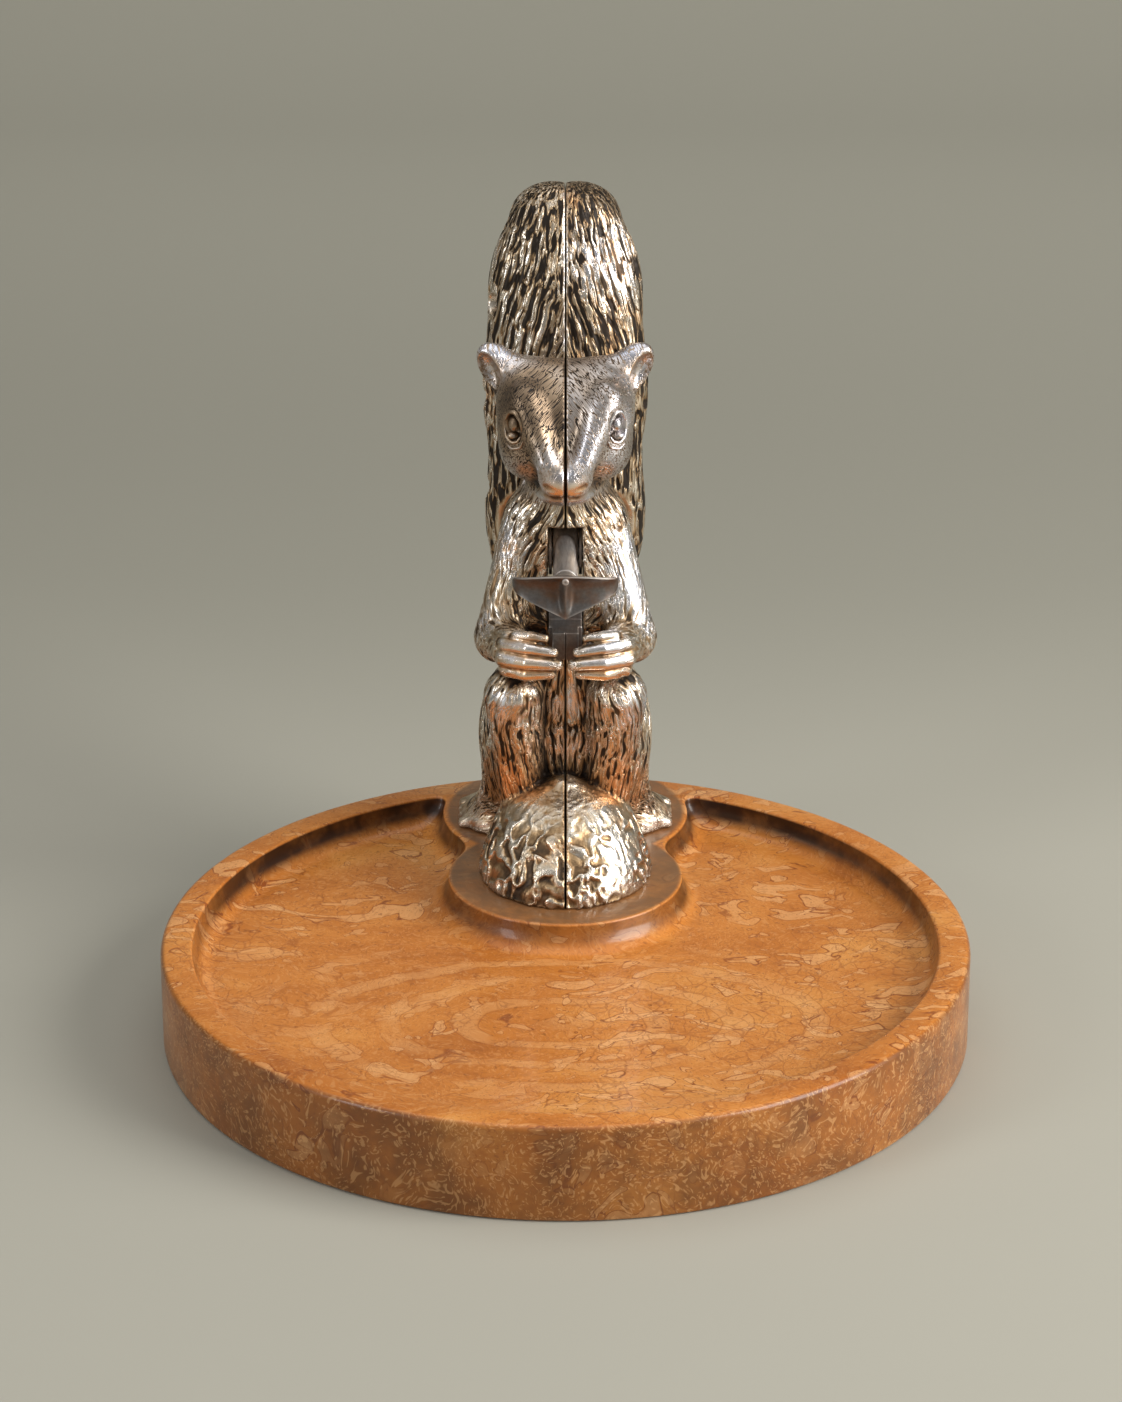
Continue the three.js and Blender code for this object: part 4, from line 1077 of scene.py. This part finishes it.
# Each tail screw's height, and how far out the seat of its head is.
tail_screws = {"low": (145.05, 12.98), "middle": (176.03, 13.5), "top": (207.0, 12.5)}
tang_y, tang_bore, tang_room = 101, 1.85, 4.3


def tail_form(p):
    """The distance to the tail's skin."""
    q, d = folded(p), None
    for at, radii in tail_balls:
        part = ball_distance(q, at, radii)
        d = part if d is None else blended(d, part, 5.0)
    return d


def tail_half(side):
    """The form of one of the tail's castings, its foot cut to an arc round the pivot pin."""

    def field(p):
        q = folded(p)
        skin = tail_form(q)
        reach, angle = round_pin(q)
        d = carved(skin, reach - 24.2, 1.2)
        d = carved(d, np.maximum(angle + 33, -66 - angle) * reach * degree, 1.5)
        # Room for the lever's tang, and for its neck.
        for near, far, top in ((95.7, 108.3, 80.3), (80, 100, 6.3)):
            room = np.maximum(slab(q, 1, near, far), slab(q, 2, pin_z - 9.3, pin_z + top))
            d = np.maximum(d, -np.maximum(q[:, 0] - tang_room, room))
        for z, seat in tail_screws.values():
            d = screwed(d, q, side, (tang_y, z, seat), 3.5, tang_bore, 9.3)
        d = carved(d, np.maximum(q[:, 0] - 0.7 * seam_half, -seam_depth - skin), 0.5)
        return np.maximum(d, seam_gap - q[:, 0])

    return field


tail_strand = 30.0
tail_grid = lay_grid(tail_form, tail_lay, (-4, 82, 90), (32, 130, 248), 2.5)
for name, side in halves.items():
    points, quads = surface_net(tail_half(side), (0.0, 82.0, 92.0), (32.0, 128.0, 248.0), body_step)
    on_skin = np.clip(1 - np.abs(tail_form(points)) / 0.5, 0, 1)
    if side < 0:
        points, quads = points * (-1, 1, 1), quads[:, ::-1]
    q, none = points * (side, 1, 1), np.zeros(len(points))
    edge = np.clip((q[:, 0] - 0.3) / 0.7, 0, 1)
    # A painted highlight on the lamp side of the tail.
    brightened = near_places(q, [((14, 95, 225), 14)]) * (side > 0)
    # Darker along the seam: a dark joint, with painted shade in its groove.
    patina_and_shade = 0.8 * np.clip((seam_half + 0.1 - q[:, 0]) / 0.2, 0, 1)
    masks = {
        "fur": on_skin * edge, "rock": none, "fine_hair": none, "copper": none,
        "wear_and_highlight": np.maximum(brightened, 1 - edge) * on_skin,
        "patina_and_shade": np.maximum(patina_and_shade, 0.3 * near_places(q, [((6, 104, 240), 13)]))}
    offset = (0.61, 0.17, 0.0) if side < 0 else (0.05, 0.77, 0.31)
    hair = (tail_lay, tail_grid, 1, tail_strand)
    casting = casting_piece(f"tail_casting_{name}", points, quads.tolist(), hair, masks,
                            (tail_scale, 0.0007, offset), 0.0)
    # The tail's halves are painted darker, the right one most: painted shade against the lamp's
    # highlight.
    plate = casting_material(f"plated_tail_{name}", offset, tail_scale, -0.13 - 0.055 * side, 0.055)
    shown(casting, plate, "tail_lever", "plated", f"tail_{name}")


# ---------------------------------------------------------------------------------------------
# The lever and its bearings. A flat iron forging: a hub on the pivot pin, a round-edged arm in
# front of it and a tang behind, which turns up into the tail. Two turned discs centre it.

def box_distance(p, low, high, axes=(0, 1, 2)):
    """The distance to a box, or to a long bar if only some of the axes are given."""
    low, high = np.array(low, float), np.array(high, float)
    q = np.abs(p[:, list(axes)] - (low + high) / 2) - (high - low) / 2
    return np.sqrt((np.maximum(q, 0) ** 2).sum(1)) + np.minimum(q.max(1), 0)


def rounded_plate(outline, p, half, edge):
    """A plate across X from the distance to its outline, its edges rounded."""
    q = np.stack([outline + edge, np.abs(p[:, 0]) - half + edge], 1)
    return np.sqrt((np.maximum(q, 0) ** 2).sum(1)) + np.minimum(q.max(1), 0) - edge


arm_end, plate_half, tang_back = 41.6, 3.95, 107.8
rivet_z = pin_z + 1.4
lever_bores = [(pin_y, pin_z, pin_bore)] + [(tang_y, z, tang_bore) for z, _ in tail_screws.values()]


def lever_field(p):
    """The lever's form, with a round bar for the part of its arm that is seen, and its bores."""
    low = pin_z - 9
    arm = box_distance(p, (arm_end, pin_z - 7), (pin_y, pin_z + 1), (1, 2))
    hub = rod_distance(p, pin_y, pin_z, 9.3)
    neck = box_distance(p, (pin_y, low), (tang_back, pin_z + 6), (1, 2))
    tang = box_distance(p, (96, low), (tang_back, 213.8), (1, 2))
    bar = limb_distance(p, (0, arm_end, pin_z + 0.05), (0, 62.0, pin_z + 5.2), plate_half, 3.1)
    front = np.minimum(rounded_plate(blended(arm, hub, 1.5), p, plate_half, 1.6),
                       np.maximum(bar, arm_end - p[:, 1]))
    d = np.minimum(front, rounded_plate(np.minimum(neck, tang), p, plate_half, 1.2))
    d = np.maximum(d, -np.maximum(np.hypot(p[:, 0], p[:, 2] - rivet_z) - 1.15, p[:, 1] - 47.3))
    for bore in lever_bores:
        d = np.maximum(d, -rod_distance(p, *bore))
    return d


def turned_mesh(profile, hollow=False, count=48):
    """Points and faces of a part turned about X. The profile gives places along X and radii."""
    turn = np.arange(count) * 2 * math.pi / count
    p = [(x, r * math.cos(t), r * math.sin(t)) for x, r in profile for t in turn]
    rows = len(profile)
    f = [q for i in range(rows - 1) for q in strip(i * count, (i + 1) * count, count)]
    if hollow:
        f += strip((rows - 1) * count, 0, count)
    else:
        f += [tuple(range(count)), tuple(range((rows - 1) * count, rows * count))]
    return np.array(p), f


def turned_piece(name, profile, places, finish, body, slot, *parts, hollow=False, upright=False):
    """One piece of a turned part at each of some places, about X or, if upright, about Z."""
    p, f = [], []
    for place in places:
        q, g = turned_mesh(profile, hollow)
        if upright:
            q = q[:, [1, 2, 0]]
        f += [tuple(i + sum(map(len, p)) for i in face) for face in g]
        p.append(q + np.array(place, float))
    shown(outward(made_mesh(name, np.concatenate(p), f)), finish, body, slot, *parts, sharp=35)


def iron_material(name, bright, brown):
    """Dark iron with a brown bloom, rubbed smooth, with fine lines along the forging."""
    made, nodes, out, where = new_material(name)
    drawn = nodes.add("ShaderNodeMapping", {"Vector": where, "Scale": (1, 0.12, 1)})
    lines = nodes.noise(drawn, 900, 3, 0.6)
    blot = nodes.patches(where, 120, 4, 0.6, 0.38, 0.62)
    steel = tuple(c * bright for c in (0.27, 0.25, 0.235)) + (1,)
    rust = tuple(c * bright for c in (0.24, 0.135, 0.08)) + (1,)
    base = nodes.mix(nodes.mul(blot, brown), steel, rust)
    toned = nodes.mix(nodes.range(lines, 0.35, 0.65, 0.0, 0.35), base, (0.06, 0.05, 0.045, 1))
    edge = nodes.range(nodes.add("ShaderNodeNewGeometry").outputs["Pointiness"], 0.52, 0.60)
    brightened = nodes.mix(nodes.mul(edge, 0.55), toned, (0.55, 0.50, 0.45, 1))
    lay_skin(nodes, out, brightened, (lines, 0.12, 0.0002), Metallic=0.7,
             Roughness=nodes.range(blot, 0.0, 1.0, 0.38, 0.5))
    return made


def steel_material():
    """Machined steel with a fine, dull mottle."""
    made, nodes, out, where = new_material("turned_steel")
    fine = nodes.noise(where, 700, 3, 0.6)
    tone = nodes.mix(nodes.range(fine, 0.3, 0.7), (0.30, 0.285, 0.26, 1), (0.50, 0.485, 0.455, 1))
    lay_skin(nodes, out, tone, (fine, 0.1, 0.0001), Metallic=1.0,
             Roughness=nodes.range(fine, 0.3, 0.7, 0.3, 0.42))
    return made


def netted_piece(name, field, low, high, step, finish, body, slot, part):
    """A piece from a distance field that rides a body and stands in for one part."""
    p, quads = surface_net(field, low, high, step)
    shown(made_mesh(name, p, quads.tolist()), finish, body, slot, part)


# The lever's iron is painted brighter than the jaw's and the anvil's, as painted light where the slot
# shades it.
forged, machined = iron_material("forged_iron", 1.5, 0.2), steel_material()
netted_piece("lever_forging", lever_field, (-5.5, 39.0, 122.0), (5.5, 111.0, 217.0), 0.5,
             forged, "tail_lever", "iron", "lever_core")
pin_profile = [(-15, 2.5), (-14.5, 3), (14.5, 3), (15, 2.5)]
turned_piece("pivot_pin_turned", pin_profile, [(0, pin_y, pin_z)], machined, "stand", "steel",
             "pivot_pin")
disc_profile = [(4.3, 3.2), (4.3, 7.3), (4.5, 7.5), (5.1, 7.5), (5.3, 7.3), (5.3, 3.2)]
for name, side in halves.items():
    turned_piece(f"bearing_disc_{name}", [(side * x, r) for x, r in disc_profile], [(0, pin_y, pin_z)],
                 forged, "stand", "steel", f"pivot_spacer_{name}", hollow=True)


# ---------------------------------------------------------------------------------------------
# The jaw, a keeled cross head forged in one piece. Its top falls away behind a thin lip, its
# flanks are hollowed towards a sharp keel, and a small rivet in front holds it on the arm.

jaw_half, jaw_top, jaw_front = 16.8, pin_z + 4, pin_y - 34


def jaw_section(across, shrink=1.0):
    """The closed line round the jaw where it is so far across, from its lip down and round the back."""
    away = min(abs(across) / jaw_half, 1.0)
    top = jaw_top - 2.6 * away**2
    height = 4.4 + 10.6 * (1 - away) ** 0.82
    front = jaw_front + 8 * (1 - math.sqrt(1 - (0.995 * away) ** 2))
    depth = 5 + 10 * (1 - away**2)
    hollow = 3.1 * (1 - math.exp(-((away / 0.085) ** 2))) * (1 - away) ** 0.5
    face = [(front + hollow * math.sin(math.pi * t**0.85) ** 0.9 + 1.2 * t * t,
             top - 0.35 - (height - 0.6) * t) for t in np.linspace(0, 1, 15)]
    keel_y, keel_z = front + 1.7, top - height
    back = [(keel_y, keel_z), (front + 0.4 * depth, keel_z + 0.3),
            (front + 0.8 * depth, top - 0.86 * height), (front + depth, top - 0.75 * height),
            (front + depth, top - 0.5 * depth), (front + 0.6 * depth, top - 0.27 * depth),
            (front + 0.9, top - 0.04), (front + 0.35, top)]
    ring = np.array(face + back)
    middle = ring.mean(0)
    return middle + (ring - middle) * shrink


# Places across with the section's share of its full size: closer near the middle, and rounded tips.
tip = 1.3
stations = [(math.copysign(1, s) * (abs(s) ** 1.15) * (jaw_half - tip), 1.0)
            for s in np.linspace(-1, 1, 81)]
tip_steps = [(jaw_half - tip + tip * math.sin(t), math.cos(t) ** 0.8)
             for t in np.linspace(0, 1.45, 8)[1:]]
stations = [(-x, k) for x, k in reversed(tip_steps)] + stations + tip_steps
rings = [jaw_section(x, k) for x, k in stations]
count, last = len(rings[0]), (len(rings) - 1) * len(rings[0])
points = [(x, y, z) for (x, _), ring in zip(stations, rings) for y, z in ring]
faces = [q for i in range(len(rings) - 1) for q in strip(i * count, (i + 1) * count, count)]
faces += [tuple(range(count)), tuple(range(last, last + count))]
jaw_piece = outward(made_mesh("jaw_forging", points, faces))


def box_mesh(name, low, high):
    """A box from its two far corners."""
    corners = [(x, y, z) for x in (low[0], high[0]) for y in (low[1], high[1])
               for z in (low[2], high[2])]
    sides = [(0, 1, 3, 2), (4, 6, 7, 5), (0, 4, 5, 1), (2, 3, 7, 6), (0, 2, 6, 4), (1, 5, 7, 3)]
    return outward(made_mesh(name, corners, sides, smooth=False))


def worked(made, tool, operation):
    """Cuts the tool out of a piece, or joins it on, and removes the tool."""
    modifier = made.modifiers.new("cut", "BOOLEAN")
    modifier.operation, modifier.solver, modifier.object = operation, "EXACT", tool
    kept_mesh(made)
    bpy.data.objects.remove(tool)


channel = box_mesh("channel_tool", (-4.3, 41.0, pin_z - 7.3), (4.3, 70.0, pin_z + 20))
worked(jaw_piece, channel, "DIFFERENCE")
# A rounded saddle carries the arm's form on to the lip.
saddle_half = 3.9
across = np.linspace(-saddle_half, saddle_half, 17)
arch = 1 - np.sqrt(np.maximum(1 - (across / saddle_half) ** 2, 0))
saddle = []
for y, fall, deep in ((jaw_front + 1.7, 1.3, 1.5), (41.4, 3.8, 4.2)):
    saddle += [(x, y, jaw_top - 0.05 - fall * a) for x, a in zip(across, arch)]
    saddle += [(x, y, jaw_top - deep) for x in (saddle_half, -saddle_half)]
count = len(saddle) // 2
faces = strip(0, count, count) + [tuple(range(count)), tuple(range(count, 2 * count))]
worked(jaw_piece, outward(made_mesh("saddle_tool", saddle, faces)), "UNION")
jaw_piece.data.shade_smooth()
jaw_piece.data.materials.clear()
shown(jaw_piece, iron_material("bronzed_iron", 0.5, 0.9), "tail_lever", "iron", "jaw", sharp=38)

head = [(0.2, 0.35), (0, 0.4), (0, 0.8), (0.15, 1.0), (0.35, 1.1), (0.6, 1.1), (0.6, 1.0), (12, 1.0)]
points, faces = turned_mesh([(jaw_front - 0.9 + x, r) for x, r in head], count=32)
points = points[:, [1, 0, 2]] + (0, 0, rivet_z + 1.0)
rivet_piece = outward(made_mesh("jaw_rivet_head", points, faces))
shown(rivet_piece, forged, "tail_lever", "steel", "jaw_rivet", sharp=35)


# ---------------------------------------------------------------------------------------------
# The anvil, an iron block in the foot of the slot. Its nose is narrower than the slot, its rear
# shoulder stops the arm, and a cross pin holds it between the castings.

def anvil_field(p):
    """The anvil's form: nose, block and shoulder, hollowed round the lever's hub."""
    nose = box_distance(p, (-3.9, 45.3, 106.5), (3.9, 54, 115.3)) - 0.25
    block = box_distance(p, (-5.0, 51, 106.6), (5.0, 63.7, 115.2)) - 0.3
    shoulder = box_distance(p, (-5.0, 57.3, 106.6), (5.0, 63.7, 126.4)) - 0.3
    d = np.minimum(np.minimum(nose, block), shoulder)
    d = carved(d, rod_distance(p, pin_y, pin_z, 9.8), 0.4)
    d = np.maximum(d, -rod_distance(p, *anvil_pin_at, anvil_pin_bore))
    groove = np.maximum(np.abs(p[:, 0]) - 0.12, p[:, 1] - 45.6)
    return np.maximum(d, -groove)


netted_piece("anvil_block", anvil_field, (-6.0, 44.0, 105.0), (6.0, 65.0, 128.0), 0.3,
             iron_material("anvil_iron", 0.7, 0.5), "stand", "iron", "anvil")
turned_piece("anvil_pin_turned", [(-8, 1.2), (-7.7, 1.5), (7.7, 1.5), (8, 1.2)], [(0, *anvil_pin_at)],
             machined, "stand", "steel", "anvil_pin")


# ---------------------------------------------------------------------------------------------
# Screws. Slotted steel screws clamp the halves of the squirrel and of the tail, and four more
# come up through the tray, each with a washer. One tree puts a screw at every point of a mesh.

def screw_tree():
    """A screw whose shank starts as a stub, which each point then draws out to its own length."""
    tree, nodes, given, sockets = new_group("slotted_screw", "GeometryNodeTree", {
        "Geometry": "Geometry", "Head Radius": "Float", "Head Height": "Float", "Shank Radius": "Float",
        "Slot Width": "Float", "Turn": "Vector", "Shank Way": "Vector", "Finish": "Material"},
        {"Geometry": "Geometry"})
    stub = 0.002
    shank = nodes.add("GeometryNodeMeshCylinder", {
        "Vertices": 32, "Radius": given["Shank Radius"], "Depth": stub})
    normal = nodes.split(nodes.add("GeometryNodeInputNormal"))[2]
    height = nodes.split(nodes.add("GeometryNodeInputPosition"))[2]
    marked = nodes.add("GeometryNodeStoreNamedAttribute", {
        "Geometry": shank, "Name": "shank_end", "Value": nodes.math("LESS_THAN", height, 0.0)},
        data_type="FLOAT", domain="POINT")
    shape, top = marked, nodes.math("GREATER_THAN", normal, 0.9)
    wider = nodes.math("DIVIDE", given["Head Radius"], given["Shank Radius"])
    for rise, scale in ((0.0, wider), (0.8, 1.0), (0.2, 0.88)):
        grown = nodes.add("GeometryNodeExtrudeMesh", {
            "Mesh": shape, "Selection": top, "Offset Scale": nodes.mul(given["Head Height"], rise),
            "Individual": False}, mode="FACES")
        top = grown.outputs["Top"]
        shape = nodes.add("GeometryNodeScaleElements", {
            "Geometry": grown, "Selection": top, "Scale": scale}, domain="FACE")
    deep = nodes.plus(given["Head Height"], stub / 2)
    size = nodes.add("ShaderNodeCombineXYZ", {
        0: given["Slot Width"], 1: nodes.mul(given["Head Radius"], 4.0),
        2: nodes.mul(given["Slot Width"], 2.0)})
    tool = nodes.add("GeometryNodeTransform", {
        "Geometry": nodes.add("GeometryNodeMeshCube", {"Size": size}),
        "Translation": nodes.add("ShaderNodeCombineXYZ", {2: deep})})
    slotted = nodes.add("GeometryNodeMeshBoolean", {
        "Mesh 1": shape, "Mesh 2": tool}, operation="DIFFERENCE")
    placed = nodes.add("GeometryNodeInstanceOnPoints", {
        "Points": given["Geometry"], "Instance": slotted, "Rotation": given["Turn"]})
    whole = nodes.add("GeometryNodeRealizeInstances", {"Geometry": placed})

    pull = nodes.mul(nodes.stored("shank_end"), nodes.minus(nodes.stored("shank_length"), stub))
    drawn = nodes.add("GeometryNodeSetPosition", {
        "Geometry": whole, "Offset": nodes.vector("SCALE", given["Shank Way"], pull)})
    finished = nodes.add("GeometryNodeSetMaterial", {"Geometry": drawn, "Material": given["Finish"]})
    nodes.add("NodeGroupOutput", {"Geometry": finished})
    return tree, sockets


slotted_screw, screw_input = screw_tree()
slot_width = 1.1


def screw_set(name, seats, lengths, turn, way, body, parts, sizes):
    """Screws of one size: the radius and height of the head, and the radius of the shank. A seat is
    the middle of the underside of a head, in millimetres."""
    made = made_mesh(name, np.array(seats, float) + np.array(way) * 1.0, [])
    set_attribute(made, "shank_length", np.array(lengths) * 0.001)
    head, height, shank = (size * 0.001 for size in sizes)
    run_tree(made, slotted_screw, screw_input, {
        "Head Radius": head, "Head Height": height, "Shank Radius": shank,
        "Slot Width": slot_width * 0.001, "Turn": turn, "Shank Way": way, "Finish": machined})
    shown(made, None, body, "steel", *parts, sharp=30)


to_left, to_right = (0, -math.pi / 2, 0), (1, 0, 0)
screw_set("tie_screws", [(-seat, y, z) for y, z, seat in tie_places.values()],
          [seat + 10 for _, _, seat in tie_places.values()], to_left, to_right, "stand",
          [f"tie_screw_{name}" for name in tie_places], (3.7, 2.8, 2.0))
screw_set("tail_screws", [(-seat, tang_y, z) for z, seat in tail_screws.values()],
          [seat + 9 for _, seat in tail_screws.values()], to_left, to_right, "tail_lever",
          [f"tail_screw_{name}" for name in tail_screws], (3.2, 2.4, 1.7))
corners = ["front_left", "front_right", "rear_left", "rear_right"]
base_seat, base_length, upwards = 4.5, 38.8, (0, 0, 1)
screw_set("base_screws", [(x, y, base_seat) for x, y in screw_places],
          [base_length for _ in screw_places], (math.pi, 0, math.pi / 2), upwards, "stand",
          [f"base_screw_{corner}" for corner in corners], (4.5, 3.0, 2.4))
washer = [(4.8, 2.6), (4.8, 6.3), (5.0, 6.5), (5.8, 6.5), (6.0, 6.3), (6.0, 2.6)]
turned_piece("base_washers", washer, [(x, y, 0) for x, y in screw_places], machined, "stand", "steel",
             *[f"base_washer_{corner}" for corner in corners], hollow=True, upright=True)


# ---------------------------------------------------------------------------------------------
# The studio: a sweep of grey paper with three soft lamps, and the camera of the photograph, which
# looks down on the tray from about 22.5 degrees above it.

def sweep_material():
    """Matt grey paper, painted a little darker behind the tray than in front of it and lighter again
    higher up: painted shade and light.
    """
    made, nodes, out, where = new_material("grey_sweep")
    fine, back = nodes.noise(where, 30, 3, 0.6), nodes.split(where)[1]
    tone = nodes.mix(nodes.mul(fine, 0.1), (0.36, 0.345, 0.29, 1), (0.31, 0.30, 0.25, 1))
    tone = nodes.mix(nodes.range(back, 0.10, 0.42), tone, (0.275, 0.265, 0.218, 1))
    tone = nodes.mix(nodes.range(back, 0.50, 1.05), tone, (0.355, 0.342, 0.283, 1))
    lay_skin(nodes, out, tone, Roughness=0.8)
    return made


profile = [(-2.6, 0.0)] + [(1.1 + 0.9 * math.sin(t), 0.9 - 0.9 * math.cos(t))
                           for t in np.linspace(0, math.pi / 2, 40)] + [(2.0, 3.4)]
points = [(x * 1000, y * 1000, z * 1000 - 0.1) for y, z in profile for x in (-3.2, 3.2)]
faces = [(2 * i, 2 * i + 1, 2 * i + 3, 2 * i + 2) for i in range(len(profile) - 1)]
sweep = made_mesh("paper_sweep", points, faces)
sweep.data.materials.append(sweep_material())


def lamp(name, place, target, width, height, power, colour=(1, 1, 1)):
    """A soft lamp that faces a target. Its sizes and places are in metres, its power in watts."""
    made = bpy.data.lights.new(name, "AREA")
    made.shape, made.size, made.size_y = "RECTANGLE", width, height
    made.energy, made.color = power, colour
    lit = bpy.data.objects.new(name, made)
    bpy.context.scene.collection.objects.link(lit)
    lit.location = place
    lit.rotation_euler = (Vector(target) - Vector(place)).to_track_quat("-Z", "Y").to_euler()


lamp("key", (1.3, -0.52, 0.74), (0, 0.05, 0.12), 1.0, 1.25, 37, (1, 0.985, 0.96))
lamp("fill", (-1.2, -0.8, 0.6), (0, 0.05, 0.12), 0.35, 0.9, 6.5, (0.97, 0.985, 1))
lamp("top", (-0.1, 0.1, 1.9), (0, 0.0, 0.1), 2.2, 2.0, 13)

world = bpy.data.worlds.new("studio_air")
bpy.context.scene.world = world
world.use_nodes = True
air = Nodes(world.node_tree)
world_out = air.add("ShaderNodeOutputWorld")
height = air.split(air.add("ShaderNodeTexCoord").outputs["Generated"])[2]
glow = air.ramp(air.plus(air.mul(height, 0.5), 0.5), [
    (0.30, (0.10, 0.09, 0.08)), (0.52, (0.34, 0.33, 0.31)), (0.80, (0.62, 0.62, 0.61))])
air.feed(world_out.inputs["Surface"], air.add("ShaderNodeBackground", {"Color": glow, "Strength": 0.6}))

camera_data = bpy.data.cameras.new("photo_camera")
camera_data.sensor_fit, camera_data.sensor_width, camera_data.lens = "HORIZONTAL", 36.0, 135.72
camera_data.clip_end = 20.0
camera = bpy.data.objects.new("photo_camera", camera_data)
bpy.context.scene.collection.objects.link(camera)
camera.location = (-0.0014, -1.2007, 0.6093)
camera.rotation_euler = (math.radians(67.46), 0, 0)
bpy.context.scene.camera = camera
bpy.context.scene.view_settings.view_transform = "Standard"
